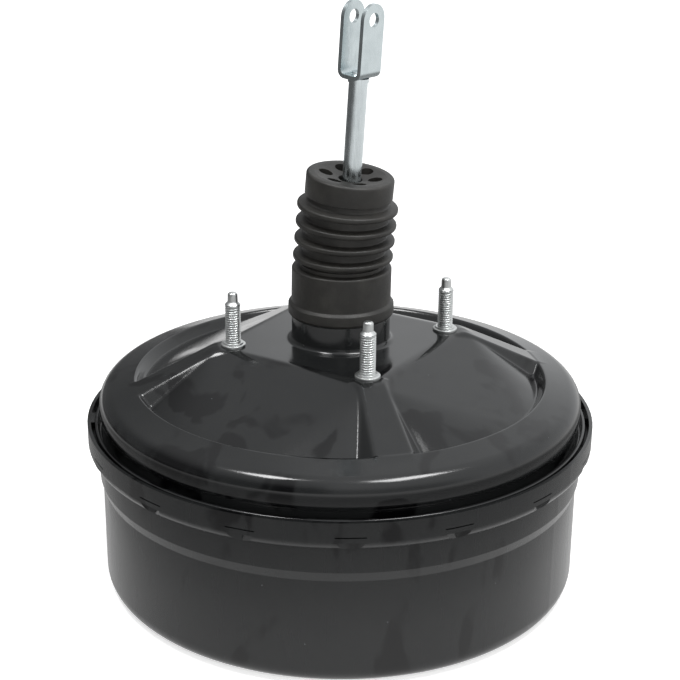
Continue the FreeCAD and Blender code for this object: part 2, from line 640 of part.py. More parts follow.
def make_rear_shell():
    """Pressed cover: flange and lip, shoulder, annulus, panels, spurs, plateau, collar."""
    body = new_body("rear_shell")
    turn_outline(body, "turned", [
        ("0", "flange_low"), ("lip_radius", "flange_low"), ("lip_radius", "lip_top"),
        ("lip_radius - wall", "lip_top"), ("lip_radius - wall", "flange_low + wall"),
        ("waist_radius", "flange_low + wall"), ("waist_radius", "shoulder_foot"),
        ("shoulder_radius", "shoulder_foot + wall * 3"), ("shoulder_radius", "shoulder_height"),
        ("annulus_radius", "annulus_height"), ("panel_foot_radius", "panel_foot_height"),
        ("0", "panel_foot_height"),
    ])
    corner = [("shoulder_radius", "shoulder_height")]
    round_rings(body, "shoulder", corner, "shoulder_round")
    round_rings(body, "annulus_edge", [("annulus_radius", "annulus_height")], "wall")

    # Panels: a ruled surface from the square plateau down to the annulus
    square = rounded_square(body, "plateau", "plateau_half", "plateau_corner", "plateau_height")
    circle = quartered_circle(body, "panel_foot", "panel_foot_radius", "panel_foot_height")
    doc.recompute()
    loft(body, "panels", [square, circle], "PartDesign::AdditiveLoft")

    add_spurs(body)

    # Collar that guides the valve body
    sketch = new_sketch(body, "collar_sketch", "XY_Plane", lift="plateau_height - wall / 2")
    draw_circle(sketch, "0", "0", "collar_radius")
    doc.recompute()
    extruded(body, "collar", sketch, "collar_step - plateau_height + wall / 2")
    sketch = new_sketch(body, "neck_sketch", "XY_Plane", lift="collar_step - wall / 2")
    draw_circle(sketch, "0", "0", "neck_radius")
    doc.recompute()
    extruded(body, "neck", sketch, "neck_top - collar_step + wall / 2")
    round_rings(body, "collar_edge", [("collar_radius", "collar_step")], "wall * 0.8")

    # Inside of the pressing
    before = body.Shape.Volume
    turn_outline(body, "hollow", [
        ("0", "flange_low - wall"), ("waist_radius - wall", "flange_low - wall"),
        ("waist_radius - wall", "shoulder_foot"),
        ("shoulder_radius - wall", "shoulder_foot + wall * 3"),
        ("shoulder_radius - wall", "shoulder_height - wall * 0.77"),
        ("annulus_radius + wall / 2", "annulus_height - wall * 1.15"),
        ("panel_foot_radius + wall / 2", "panel_foot_height - wall"),
        ("0", "panel_foot_height - wall"),
    ], "PartDesign::Groove")
    must_cut(body, before, "hollow")
    round_rings(body, "shoulder_under", [("shoulder_radius - wall", "shoulder_height - wall * 0.77")],
                "shoulder_round - wall")
    before = body.Shape.Volume
    square = rounded_square(body, "plateau_under", "plateau_half", "plateau_corner",
                            "plateau_height - wall")
    circle = quartered_circle(body, "panel_under", "panel_foot_radius",
                              "panel_foot_height - wall")
    doc.recompute()
    loft(body, "hollow_panels", [square, circle], "PartDesign::SubtractiveLoft")
    must_cut(body, before, "hollow_panels")
    hollow_spurs(body)
    bore_holes(body, "collar_bore", [("0", "0")], "collar_radius - wall",
               "panel_foot_height", "collar_step - wall")
    bore_holes(body, "neck_bore", [("0", "0")], "neck_radius - wall",
               "panel_foot_height", "neck_top + wall")
    bore_holes(body, "stud_holes", stud_places("stud_spacing"), "stud_hole",
               "plateau_height - wall * 2", "plateau_height + wall")
    return body


# Studs and plates


def make_mounting_studs():
    """Four collared studs with dog points, in one group."""
    under = "plateau_height - wall - rear_plate_thick"
    ring_low = "plateau_height + stud_collar_thick"
    tip = "plateau_height + stud_reach"
    group_at("mounting_studs", stud_places("stud_spacing"), [
        ("0", under + " - stud_head_thick"), ("stud_head", under + " - stud_head_thick"),
        ("stud_head", under), ("stud_neck", under), ("stud_neck", "plateau_height"),
        ("stud_collar", "plateau_height"), ("stud_collar", ring_low),
        ("stud_ring", ring_low), ("stud_ring", ring_low + " + 0.9"),
        ("stud_radius", ring_low + " + 0.9"),
        ("stud_radius", tip + " - point_length - 0.9"),
        ("point_radius", tip + " - point_length"),
        ("point_radius", tip + " - 1.4"), ("point_radius - 1.6", tip),
        ("0", tip),
    ])


def make_cylinder_studs():
    """Two studs that hold the master cylinder in the recess."""
    over = "dish_depth + wall + front_plate_thick"
    tip = "dish_depth - cylinder_reach"
    group_at("master_cylinder_studs", cylinder_places(), [
        ("0", tip), ("stud_radius - 0.8", tip), ("stud_radius", tip + " + 0.8"),
        ("stud_radius", "dish_depth"), ("stud_neck", "dish_depth"), ("stud_neck", over),
        ("stud_head", over), ("stud_head", over + " + stud_head_thick"),
        ("0", over + " + stud_head_thick"),
    ])


def group_at(label, places, outline):
    """The same turned piece at several places, as one group of separate solids."""
    pieces = []
    for number, (across, up) in enumerate(places, start=1):
        piece = turned(label + "_%d" % number, outline)
        bind(piece, "Placement.Base.x", across)
        bind(piece, "Placement.Base.y", up)
        pieces.append(piece)
    group = doc.addObject("Part::Compound", label)
    group.Links = pieces
    group.Label = label
    doc.recompute()


def make_stud_plate():
    """Square reinforcement plate under the plateau."""
    body = new_body("stud_plate")
    low = "plateau_height - wall - rear_plate_thick"
    square = rounded_square(body, "outline", "rear_plate_half", "plateau_corner", low)
    draw_circle(square, "0", "0", "collar_radius + wall")
    for across, up in stud_places("stud_spacing"):
        draw_circle(square, across, up, "stud_neck")
    doc.recompute()
    extruded(body, "plate", square, "rear_plate_thick")


def make_front_plate():
    """Round reinforcement plate above the recess floor."""
    body = new_body("front_plate")
    sketch = new_sketch(body, "outline", "XY_Plane", lift="dish_depth + wall")
    draw_circle(sketch, "0", "0", "front_plate_radius")
    draw_circle(sketch, "0", "0", "spigot_radius + wall + slip")
    for across, up in cylinder_places():
        draw_circle(sketch, across, up, "stud_neck")
    draw_circle(sketch, "0", "port_offset", "port_hole + wall")
    doc.recompute()
    extruded(body, "plate", sketch, "front_plate_thick")


# Seals and guide


def make_seals():
    """Lip seal and its ring in the spigot bore, and the seal, ring and bush of the collar."""
    low = "seal_low + 4.2"
    turned("front_seal", [
        ("output_radius + running", low), ("seal_seat", low), ("seal_seat", "spigot_top"),
        ("rod_hole + 2", "spigot_top"), ("rod_hole + 1", low + " + 3"),
        ("output_radius + running", low + " + 2.4"),
    ])
    ring("front_seal_retainer", "rod_hole + 2", "seal_seat", "seal_low", low)
    ring("rear_bearing", "tube_radius + running", "neck_radius - wall",
         "collar_step + 7.5", "neck_top - 1")
    turned("rear_seal", [
        ("tube_radius + running", "plateau_height + 0.2"),
        ("collar_radius - wall", "plateau_height + 0.2"),
        ("collar_radius - wall", "collar_step - wall"),
        ("collar_radius - wall - 3", "collar_step - wall"),
        ("tube_radius + 1.2", "plateau_height + 3"),
        ("tube_radius + running", "plateau_height + 2.4"),
    ])
    ring("seal_retainer", "tube_radius + 0.7", "collar_radius - wall",
         "plateau_height - 1.4", "plateau_height + 0.2")


# Vacuum port with its check valve


def move_to_port(body):
    bind(body, "Placement.Base.y", "port_offset")
    return body


def make_vacuum_port():
    """Rubber grommet and a two-piece check valve with a disc and a spring."""
    top = "dish_depth + wall"
    move_to_port(turned("vacuum_grommet", [
        ("port_neck", "dish_depth - 2.2"), ("port_hole + 2", "dish_depth - 2.2"),
        ("port_hole + 2", "dish_depth"), ("port_hole", "dish_depth"), ("port_hole", top),
        ("port_hole + 1.6", top), ("port_hole", top + " + 2.2"), ("port_neck", top + " + 2.2"),
    ]))
    floor = "valve_bottom + 1.1"
    split = "dish_depth - 5.2"
    move_to_port(turned("check_valve_body", [
        ("nipple_radius - 1.5", "nipple_end"), ("nipple_radius - 0.6", "nipple_end"),
        ("nipple_radius", "nipple_end + 1"), ("nipple_radius", "valve_bottom"),
        ("valve_radius", "valve_bottom"),
        ("valve_radius", split), ("valve_radius - 2", split), ("valve_radius - 2", floor),
        ("nipple_radius - 1.5", floor),
    ]))
    move_to_port(turned("check_valve_cap", [
        ("port_neck - 2.7", split), ("valve_radius", split), ("valve_radius", split + " + 2.6"),
        ("port_neck", split + " + 2.6"), ("port_neck", top + " + 2.4"),
        ("port_neck + 1.2", top + " + 2.4"), ("port_neck", top + " + 4.8"),
        ("port_neck - 2.7", top + " + 4.8"),
    ]))
    move_to_port(turned("check_valve_disc", [
        ("0", split + " - 0.2 - check_disc_thick"),
        ("check_disc_radius", split + " - 0.2 - check_disc_thick"),
        ("check_disc_radius", split + " - 0.2"), ("0", split + " - 0.2"),
    ]))
    spring = coil("check_valve_spring", "check_disc_radius - 2", "fine_wire / 2", floor,
                  split + " - 0.2 - check_disc_thick", 3)
    spring.Placement.Base = Vector(0, amount("port_offset"), 0)


# Springs


def coil(label, mean_radius, wire_radius, low, high, turns):
    """A coil spring between two heights, of short straight lengths of eight-sided wire."""
    radius, thick = amount(mean_radius), amount(wire_radius)
    start, end = amount(low) + thick, amount(high) - thick
    steps = 16 * turns
    path = []
    for number in range(steps + 1):
        angle = 2 * math.pi * number / 16
        rise = start + (end - start) * number / steps
        path.append(Vector(radius * math.cos(angle), radius * math.sin(angle), rise))
    across = Rotation(Vector(0, 0, 1), path[1] - path[0])
    section = []
    for number in range(8):
        angle = math.radians(22.5 + 45 * number)
        reach = Vector(thick * math.cos(angle), thick * math.sin(angle), 0)
        section.append(path[0] + across.multVec(reach))
    profile = Part.makePolygon(section + [section[0]])
    feature = doc.addObject("Part::Feature", label)
    feature.Shape = Part.makePolygon(path).makePipeShell([profile], True, False, 1)
    feature.Label = label
    return feature


# Power piston


def make_valve_body():
    """Moulded body: front pocket, plunger bore, key slot and the rear tube."""
    body = new_body("valve_body")
    flange_top = "flange_bottom + flange_thick"
    turn_outline(body, "moulded", [
        ("pocket_radius", "hub_bottom"), ("hub_radius - 1", "hub_bottom"),
        ("hub_radius", "hub_bottom + 1"), ("hub_radius", "flange_bottom"),
        ("hub_flange", "flange_bottom"), ("hub_flange", flange_top),
        ("tube_radius + 4", flange_top), ("tube_radius", flange_top + " + 6"),
        ("tube_radius", "tube_top - 0.8"), ("tube_radius - 0.8", "tube_top"),
        ("tube_bore", "tube_top"), ("tube_bore", "chamber_floor"),
        ("plunger_bore", "chamber_floor"), ("plunger_bore", "pocket_top"),
        ("pocket_radius", "pocket_top"),
    ])
    before = body.Shape.Volume
    slot = new_sketch(body, "key_slot_sketch", "XY_Plane", lift="key_low - 1")
    draw_outline(slot, [("-1 * key_half - slip", "-1 * key_back - slip"),
                        ("key_half + slip", "-1 * key_back - slip"),
                        ("key_half + slip", "tube_radius + 8"),
                        ("-1 * key_half - slip", "tube_radius + 8")])
    doc.recompute()
    extruded(body, "key_slot", slot, "key_thick + 2", "PartDesign::Pocket", back=True)
    must_cut(body, before, "key_slot")
    return body


def make_diaphragm():
    """Dished plate, the rubber on it, and the rubber's clamped rim."""
    top = "flange_bottom + flange_thick"
    edge = "plate_edge_height"
    turned("diaphragm_plate", [
        ("tube_radius + 4.5", top), ("hub_flange + 6", top), ("plate_radius - 14", edge),
        ("plate_radius", edge), ("plate_radius", edge + " + plate_thick"),
        ("plate_radius - 13.8", edge + " + plate_thick"),
        ("hub_flange + 6.2", top + " + plate_thick"), ("tube_radius + 4.5", top + " + plate_thick"),
    ])
    lift = " + plate_thick"
    thick = " + plate_thick + diaphragm_thick"
    turned("diaphragm", [
        ("tube_radius + 5", top + lift), ("hub_flange + 6.2", top + lift),
        ("plate_radius - 13.8", edge + lift), ("roll_radius - diaphragm_thick * 2", edge + lift),
        ("roll_radius - diaphragm_thick", edge + " - 6"), ("roll_radius", edge + " - 6"),
        ("roll_radius - diaphragm_thick", edge + thick), ("plate_radius - 13.4", edge + thick),
        ("hub_flange + 6.6", top + thick), ("tube_radius + 5", top + thick),
    ])
    turned("diaphragm_rim", [
        ("roll_radius + roll_gap", "shelf_height"), ("band_radius - wall", "shelf_height"),
        ("band_radius - wall", "flange_low"), ("waist_radius - wall * 1.5", "flange_low"),
        ("roll_radius + roll_gap + diaphragm_thick", "flange_low + 5"),
        ("roll_radius + roll_gap", "flange_low + 5"),
    ])


def make_output_side():
    """Reaction disc, output rod with its adjusting tip, and the ring that holds them."""
    disc_low = "pocket_top - 0.2 - reaction_thick"
    head = "pocket_radius - 0.2"
    turned("reaction_disc", [
        ("0", disc_low), (head, disc_low), (head, "pocket_top - 0.2"), ("0", "pocket_top - 0.2"),
    ])
    shaft = "output_tip + 3"
    turned("output_rod", [
        ("tip_shank", shaft), ("output_radius", shaft), ("output_radius", disc_low + " - 5.5"),
        (head, disc_low + " - 5.5"), (head, disc_low), ("0", disc_low),
        ("0", shaft + " + 11"), ("tip_shank", shaft + " + 11"),
    ])
    turned("output_rod_tip", [
        ("0", "output_tip"), ("output_radius - 2.1", "output_tip"),
        ("output_radius - 0.4", "output_tip + 1.2"), ("output_radius - 0.4", shaft),
        ("tip_shank", shaft), ("tip_shank", shaft + " + 10.6"), ("0", shaft + " + 10.6"),
    ])
    ring("output_rod_retainer", "output_radius + slip * 2", "pocket_radius - 0.1",
         disc_low + " - 7.8", disc_low + " - 5.5")


def make_valve_parts():
    """Poppet, its retainer, the filter and the silencer in the rear tube."""
    face = "head_low + head_thick + slip"
    turned("poppet_valve", [
        ("socket_radius + 0.4", face), ("tube_bore - 0.2", face), ("tube_bore - 0.2", face + " + 20.4"),
        ("tube_bore - 1.6", face + " + 20.4"), ("tube_bore - 1.6", face + " + 2.9"),
        ("socket_radius + 0.4", face + " + 2.9"),
    ])
    low = face + " + 20.7"
    turned("poppet_retainer", [
        ("tube_bore - 1.3", low), ("tube_bore - 0.05", low), ("tube_bore - 0.05", low + " + 7.7"),
        ("seat_hole", low + " + 7.7"), ("seat_hole", low + " + 6.5"),
        ("tube_bore - 1.3", low + " + 6.5"),
    ])
    coil("poppet_spring", "socket_radius + 2.2", "fine_wire", face + " + 2.9",
         low + " + 6.5", 4)
    ring("silencer", "filter_inner", "tube_bore - 0.05", "tube_top - 15", "tube_top - 11.5")
    ring("air_filter", "filter_inner", "tube_bore - 0.05", "tube_top - 11.5", "tube_top - 2")


def make_stop_key():
    """Forked key that limits the plunger's travel."""
    body = new_body("stop_key")
    sketch = new_sketch(body, "outline", "XY_Plane", lift="key_low")
    slot, minus_slot = "plunger_groove + 0.2", "-1 * plunger_groove - 0.2"
    draw_outline(sketch, [
        ("-1 * key_half", "-1 * key_back"), (minus_slot, "-1 * key_back"), (minus_slot, slot),
        (slot, slot), (slot, "-1 * key_back"), ("key_half", "-1 * key_back"),
        ("key_half", "tube_radius - 1"), ("-1 * key_half", "tube_radius - 1")])
    doc.recompute()
    extruded(body, "plate", sketch, "key_thick")


# Input side


def make_plunger():
    """Plunger with the key groove, the air valve seat and the ball socket."""
    body = new_body("valve_plunger")
    turn_outline(body, "turned", [
        ("0", "plunger_nose"), ("plunger_radius", "plunger_nose"),
        ("plunger_radius", "key_low - free_travel"), ("plunger_groove", "key_low - free_travel"),
        ("plunger_groove", "key_low + key_thick + free_travel + 0.6"),
        ("plunger_radius", "key_low + key_thick + free_travel + 0.6"),
        ("plunger_radius", "head_low"), ("plunger_head", "head_low"),
        ("plunger_head", "head_low + head_thick"), ("socket_radius", "head_low + head_thick"),
        ("socket_radius", "socket_top"), ("0", "socket_top"),
    ])
    before = body.Shape.Volume
    mouth = "ball_radius - 1.2"
    bore_holes(body, "mouth", [("0", "0")], mouth, "ball_height", "socket_top + 1")
    ball = body.newObject("PartDesign::SubtractiveSphere", "valve_plunger_seat")
    bind(ball, "Radius", "ball_radius + ball_play")
    bind(ball, "Placement.Base.z", "ball_height")
    finish(body, ball)
    must_cut(body, before, "seat")


def lean(body, twist="0"):
    """Stand a piece drawn along Z, from the ball's centre, on the leaning rod's axis."""
    tilt = "rotation(vector(0; 1; 0); sizes.rod_lean)"
    spin = "rotation(vector(0; 0; 1); " + bound(twist) + ")"
    centre = "vector(0; 0; sizes.ball_height)"
    body.setExpression("Placement", "placement(%s; %s * %s)" % (centre, tilt, spin))
    doc.recompute()


def make_input_rod():
    """Ball, neck, shank, shoulder and riveted end, along its own axis."""
    body = new_body("input_rod")
    turn_outline(body, "turned", [
        ("0", "0"), ("ball_radius * 0.62", "0"), ("ball_radius * 0.62", "ball_radius * 2"),
        ("rod_radius", "ball_radius * 2.5"), ("rod_radius", "rod_length - 2"),
        ("rod_radius + 0.5", "rod_length - 2"), ("rod_radius + 0.5", "rod_length"),
        ("rivet_radius", "rod_length"), ("rivet_radius", "rod_length + fork_sheet"),
        ("rivet_radius + 1.2", "rod_length + fork_sheet"),
        ("rivet_radius + 0.6", "rod_length + fork_sheet + 1"),
        ("0", "rod_length + fork_sheet + 1"),
    ])
    ball = body.newObject("PartDesign::AdditiveSphere", "input_rod_ball")
    bind(ball, "Radius", "ball_radius")
    finish(body, ball)
    lean(body)


def make_spring_seat():
    body = ring("spring_seat", "rod_radius", "seat_hole + 1.6", "seat_distance",
                "seat_distance + 1.2")
    lean(body)


def make_fork():
    """U of bent sheet with round arm ends and a pin hole through both arms."""
    body = new_body("clevis_fork")
    half = "fork_gap / 2 + fork_sheet"
    top = "pin_distance + fork_width / 2"
    sketch = new_sketch(body, "u_outline", "XZ_Plane")
    minus = "-1 * fork_gap / 2 - fork_sheet"
    draw_outline(sketch, [
        (minus, "rod_length"), (half, "rod_length"), (half, top), ("fork_gap / 2", top),
        ("fork_gap / 2", "rod_length + fork_sheet"), ("-1 * fork_gap / 2", "rod_length + fork_sheet"),
        ("-1 * fork_gap / 2", top), (minus, top)])
    doc.recompute()
    pad = extruded(body, "u", sketch, "fork_width")
    pad.SideType = "Symmetric"
    doc.recompute()
    bend_edges(body, "outer_bend", half, "rod_length", "fork_bend")
    bend_edges(body, "inner_bend", "fork_gap / 2", "rod_length + fork_sheet",
               "fork_bend - fork_sheet")
    arm_ends(body, top)
    before = body.Shape.Volume
    hole = new_sketch(body, "pin_sketch", "YZ_Plane", lift="-1 * fork_gap")
    draw_circle(hole, "0", "pin_distance", "pin_hole")
    doc.recompute()
    extruded(body, "pin", hole, "fork_gap * 2", "PartDesign::Pocket", back=True)
    must_cut(body, before, "pin")
    rivet = new_sketch(body, "rivet_sketch", "XY_Plane", lift="rod_length - 1")
    draw_circle(rivet, "0", "0", "rivet_radius")
    doc.recompute()
    before = body.Shape.Volume
    extruded(body, "rivet", rivet, "fork_sheet + 2", "PartDesign::Pocket", back=True)
    must_cut(body, before, "rivet")
    lean(body, "fork_twist")


def bend_edges(body, name, across, up, radius):
    """Round the two long edges across the fork at a distance from its middle."""
    base = body.Tip
    edges = []
    for number, edge in enumerate(base.Shape.Edges, start=1):
        first, last = edge.Vertexes[0].Point, edge.Vertexes[-1].Point
        along = abs(first.y - last.y) > amount("fork_width") * 0.9
        beside = abs(abs(first.x) - amount(across)) < 0.01
        level = abs(first.z - amount(up)) < 0.01 and abs(last.z - amount(up)) < 0.01
        if along and beside and level:
            edges.append("Edge%d" % number)
    fillet = body.newObject("PartDesign::Fillet", body.Label + "_" + name)
    fillet.Base = (base, edges)
    bind(fillet, "Radius", radius)
    finish(body, fillet)


def arm_ends(body, top):
    """Round the two corners at the end of each arm."""
    base = body.Tip
    edges = []
    for number, edge in enumerate(base.Shape.Edges, start=1):
        first, last = edge.Vertexes[0].Point, edge.Vertexes[-1].Point
        across = abs(abs(first.x - last.x) - amount("fork_sheet")) < 0.01
        at_top = abs(first.z - amount(top)) < 0.01 and abs(last.z - amount(top)) < 0.01
        if across and at_top:
            edges.append("Edge%d" % number)
    fillet = body.newObject("PartDesign::Fillet", body.Label + "_arm_ends")
    fillet.Base = (base, edges)
    bind(fillet, "Radius", "fork_width / 2 - 0.1")
    finish(body, fillet)


# Boot


def boot_shift(height):
    """Sideways shift of the boot's axis at a height."""
    return max(0.0, height - amount("boot_sleeve_top")) * amount("boot_bend")


def boot_section(height, radius):
    """A circle of the boot, shifted and tilted as the boot bends with the rod."""
    above = max(0.0, height - amount("boot_sleeve_top"))
    reach = amount("cap_low - boot_sleeve_top")
    slope = 1.3 * amount("boot_bend") * min(1.0, above / reach)
    normal = Vector(slope, 0, 1)
    return Part.Wire([Part.makeCircle(radius, Vector(boot_shift(height), 0, height), normal)])


def fold_stations():
    """Heights and radii along the outside of the folds."""
    stations = []
    pitch = amount("rib_pitch")
    depth = amount("rib_radius - root_radius")
    for number in range(int(amount("rib_count"))):
        middle = amount("rib_first") + number * pitch
        for share in (-0.42, -0.36, -0.27, -0.15, 0.0, 0.15, 0.27, 0.36, 0.42, 0.5):
            swell = math.sqrt(max(0.0, 1.0 - (share / 0.43) ** 2))
            stations.append((middle + share * pitch, amount("root_radius") + depth * swell))
    return stations


def make_boot():
    """Sleeve with a lip, bent folds and a vented top, all of one rubber wall."""
    lip_top = amount("boot_bottom + boot_lip_height")
    sleeve, sleeve_top = amount("boot_inner + boot_wall"), amount("boot_sleeve_top")
    inside, thin = amount("boot_inner"), amount("fold_wall")
    outer = [
        boot_section(amount("boot_bottom"), amount("boot_lip")),
        boot_section(lip_top - 0.6, amount("boot_lip")), boot_section(lip_top, sleeve),
        boot_section(sleeve_top - 0.8, sleeve), boot_section(sleeve_top, sleeve - 0.8),
    ]
    inner = [
        boot_section(amount("boot_bottom") - 1, inside), boot_section(sleeve_top - 1.5, inside),
    ]
    for height, radius in fold_stations():
        outer.append(boot_section(height, radius))
        inner.append(boot_section(height, radius - thin))
    cap_low, cap_top = amount("cap_low"), amount("boot_top")
    outer.append(boot_section(cap_low, amount("cap_radius")))
    inner.append(boot_section(cap_low, amount("cap_radius") - thin))
    inner.append(boot_section(cap_low + 3, amount("cap_radius") - thin))
    outer.append(boot_section(cap_top - 0.8, amount("cap_radius")))
    outer.append(boot_section(cap_top, amount("cap_radius") - 0.8))
    rubber = Part.makeLoft(outer, True, True).cut(Part.makeLoft(inner, True, True))

    # Recess and air holes in the top, and the way for the rod
    tilt = math.degrees(math.atan(1.3 * amount("boot_bend")))
    top_frame = Placement(Vector(boot_shift(cap_top), 0, cap_top), Rotation(Vector(0, 1, 0), tilt))
    recess = Part.makeCylinder(amount("cap_radius - boot_wall"), 6.0, Vector(0, 0, -2.4))
    recess.transformShape(top_frame.toMatrix())
    rubber = rubber.cut(recess)
    for number in range(int(amount("vent_count"))):
        angle = math.radians(360.0 / amount("vent_count") * (number + 0.5))
        across, along = math.cos(angle), math.sin(angle)
        spot = Vector(across, along, 0) * amount("vent_circle") + Vector(0, 0, -9)
        vent = Part.makeCylinder(amount("vent_radius"), 12, spot)
        vent.transformShape(top_frame.toMatrix())
        rubber = rubber.cut(vent)
    rod_way = Part.makeCylinder(amount("rod_radius + slip"), amount("rod_length"))
    rod_way.transformShape(Placement(Vector(0, 0, amount("ball_height")),
                                     Rotation(Vector(0, 1, 0), amount("rod_lean"))).toMatrix())
    rubber = rubber.cut(rod_way)
    feature = doc.addObject("Part::Feature", "dust_boot")
    feature.Shape = rubber
    feature.Label = "dust_boot"


def build_all():
    """Make every piece, housing first and boot last."""
    make_front_shell()
    make_rear_shell()
    make_mounting_studs()
    make_cylinder_studs()
    make_stud_plate()
    make_front_plate()
    make_seals()
    make_vacuum_port()
    make_valve_body()
    make_diaphragm()
    make_output_side()
    make_valve_parts()
    make_stop_key()
    make_plunger()
    make_input_rod()
    make_spring_seat()
    make_fork()
    coil("return_spring", "hub_radius + 3.6", "coil_wire", "dish_depth + wall + front_plate_thick",
         "flange_bottom", 5)
    coil("input_return_spring", "seat_hole + 0.75", "fine_wire * 1.25",
         "head_low + head_thick + slip + 28.4", "ball_height + seat_distance - 0.7", 3)
    make_boot()


PIECES = [
    "front_shell", "rear_shell", "mounting_studs", "master_cylinder_studs", "stud_plate",
    "front_plate", "front_seal", "front_seal_retainer", "rear_bearing", "rear_seal",
    "seal_retainer", "vacuum_grommet", "check_valve_body", "check_valve_cap",
    "check_valve_disc", "check_valve_spring", "valve_body", "diaphragm_plate", "diaphragm",
    "diaphragm_rim", "reaction_disc", "output_rod", "output_rod_tip", "output_rod_retainer",
    "poppet_valve", "poppet_retainer", "poppet_spring", "silencer", "air_filter", "stop_key",
    "valve_plunger", "input_rod", "spring_seat", "clevis_fork", "return_spring",
    "input_return_spring", "dust_boot",
]


def check_all():
    """Stop before writing if any object failed or any piece isn't a sound solid."""
    for item in doc.Objects:
        if "Invalid" in item.State or "Error" in item.State:
            raise ValueError(item.Label + " did not recompute")
    for label in PIECES:
        shape = doc.getObjectsByLabel(label)[0].Shape
        if shape.isNull() or not shape.isValid() or not shape.Solids:
            raise ValueError(label + " is not a sound solid")


def write_all():
    os.makedirs("parts", exist_ok=True)
    for label in PIECES:
        shape = doc.getObjectsByLabel(label)[0].Shape
        shape.exportStep("parts/%s.step" % label)
        print(label, len(shape.Solids), "solid(s)", round(shape.Volume), "mm3")


fill_sheet()
build_all()
check_all()
write_all()
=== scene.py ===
# %% [markdown]
# # A vacuum brake booster
# The part is a pressed steel drum with a crimped rim, a rubber boot and a plated rod.
# The frame holds every piece as the CAD model has it. This script gives each piece its
# finish, and rebuilds the pieces whose fine form is worth more than a plain solid.

# %% Load the frame
import math

import bmesh
import bpy
from mathutils import Matrix, Vector


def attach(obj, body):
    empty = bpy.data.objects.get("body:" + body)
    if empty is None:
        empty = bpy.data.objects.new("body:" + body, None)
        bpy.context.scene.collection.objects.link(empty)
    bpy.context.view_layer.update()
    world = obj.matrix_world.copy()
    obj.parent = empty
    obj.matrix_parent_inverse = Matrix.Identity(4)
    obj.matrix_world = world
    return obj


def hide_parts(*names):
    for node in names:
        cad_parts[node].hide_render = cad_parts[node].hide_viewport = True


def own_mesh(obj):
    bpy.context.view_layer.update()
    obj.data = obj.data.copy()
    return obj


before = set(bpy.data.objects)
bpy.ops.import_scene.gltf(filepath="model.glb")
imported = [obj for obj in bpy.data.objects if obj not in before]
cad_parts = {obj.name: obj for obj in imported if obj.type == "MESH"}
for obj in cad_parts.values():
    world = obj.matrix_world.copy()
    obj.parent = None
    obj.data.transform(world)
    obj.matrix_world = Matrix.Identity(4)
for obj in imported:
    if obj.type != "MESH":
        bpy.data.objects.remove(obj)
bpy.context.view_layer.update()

MM = 0.001
TO_RIGHT = (0.851, 0.525, 0.0)       # level directions as the camera sees them
TO_CAMERA = (0.522, -0.853, 0.0)

# %% [markdown]
# ## Camera
# The photo was taken from a little above the booster. The stud square and the rims gave
# the camera's place, its lens and a roll of half a degree. The camera looks at a point on
# the booster's axis, just below the plateau, and is then rolled about its own view axis.

# %% Camera
camera_data = bpy.data.cameras.new("photo_camera")
camera_data.lens = 82.47
camera_data.sensor_width = 36.0
camera_data.clip_start = 0.05
camera = bpy.data.objects.new("photo_camera", camera_data)
bpy.context.collection.objects.link(camera)
camera_place = Vector((396.78, -648.50, 413.73)) * MM
aim_point = Vector((-0.29, -0.18, 128.58)) * MM
facing = (aim_point - camera_place).to_track_quat("-Z", "Y").to_matrix().to_4x4()
roll = Matrix.Rotation(math.radians(0.48), 4, "Z")
camera.matrix_world = Matrix.Translation(camera_place) @ facing @ roll
bpy.context.scene.camera = camera
print("camera is", round((aim_point - camera_place).length, 3), "m from the axis")

# %% [markdown]
# ## Colour and node helpers
# Colours are written as the hex values a picture editor shows. Shaders work in linear
# light, so one function turns a hex value to linear. One more adds a node, sets its
# settings, and links or fills its inputs.


# %% Colour and node helpers
def linear(hex_value):
    """Linear RGBA of an sRGB hex colour."""
    channels = [int(hex_value[i:i + 2], 16) / 255.0 for i in (1, 3, 5)]
    turned = [c / 12.92 if c <= 0.04045 else ((c + 0.055) / 1.055) ** 2.4 for c in channels]
    return (*turned, 1.0)


def add_node(tree, kind, inputs=None, **settings):
    """Add a node; inputs maps a socket's name or number to a value or another socket."""
    node = tree.nodes.new(kind)
    for name, value in settings.items():
        setattr(node, name, value)
    for name, value in (inputs or {}).items():
        if isinstance(value, bpy.types.NodeSocket):
            tree.links.new(value, node.inputs[name])
        else:
            node.inputs[name].default_value = value
    return node


def new_material(name):
    """An empty node material with its output, and the tree to fill."""
    material = bpy.data.materials.new(name)
    material.use_nodes = True
    material.node_tree.nodes.clear()
    output = material.node_tree.nodes.new("ShaderNodeOutputMaterial")
    return material, material.node_tree, output


print("black enamel in linear light:", [round(c, 4) for c in linear("#0c0d0f")[:3]])

# %% [markdown]
# ## The room
# Black enamel shows what it mirrors, so the room matters more than the lamps. The booster
# stands on white paper with a bright wall on its right. The room on the left and behind the
# camera is dimmer low down. The world gives each direction its brightness: mirrored rays see
# it in full, the light that falls on the object is half of it, and the camera sees white.

# %% The room
world = bpy.data.worlds.new("studio_room")
bpy.context.scene.world = world
world.use_nodes = True
room = world.node_tree
room.nodes.clear()
direction = add_node(room, "ShaderNodeTexCoord").outputs["Generated"]
upward = add_node(room, "ShaderNodeSeparateXYZ", {0: direction}).outputs["Z"]
rightward = add_node(room, "ShaderNodeVectorMath", {
    0: direction, 1: TO_RIGHT}, operation="DOT_PRODUCT").outputs["Value"]
frontward = add_node(room, "ShaderNodeVectorMath", {
    0: direction, 1: TO_CAMERA}, operation="DOT_PRODUCT").outputs["Value"]
left_wall = add_node(room, "ShaderNodeMapRange", {
    "Value": upward, "From Min": 0.35, "From Max": 0.95, "To Min": 0.20, "To Max": 0.72,
}, interpolation_type="SMOOTHSTEP").outputs[0]
right_share = add_node(room, "ShaderNodeMapRange", {
    "Value": rightward, "From Min": -0.16, "From Max": -0.02,
}, interpolation_type="SMOOTHSTEP").outputs[0]
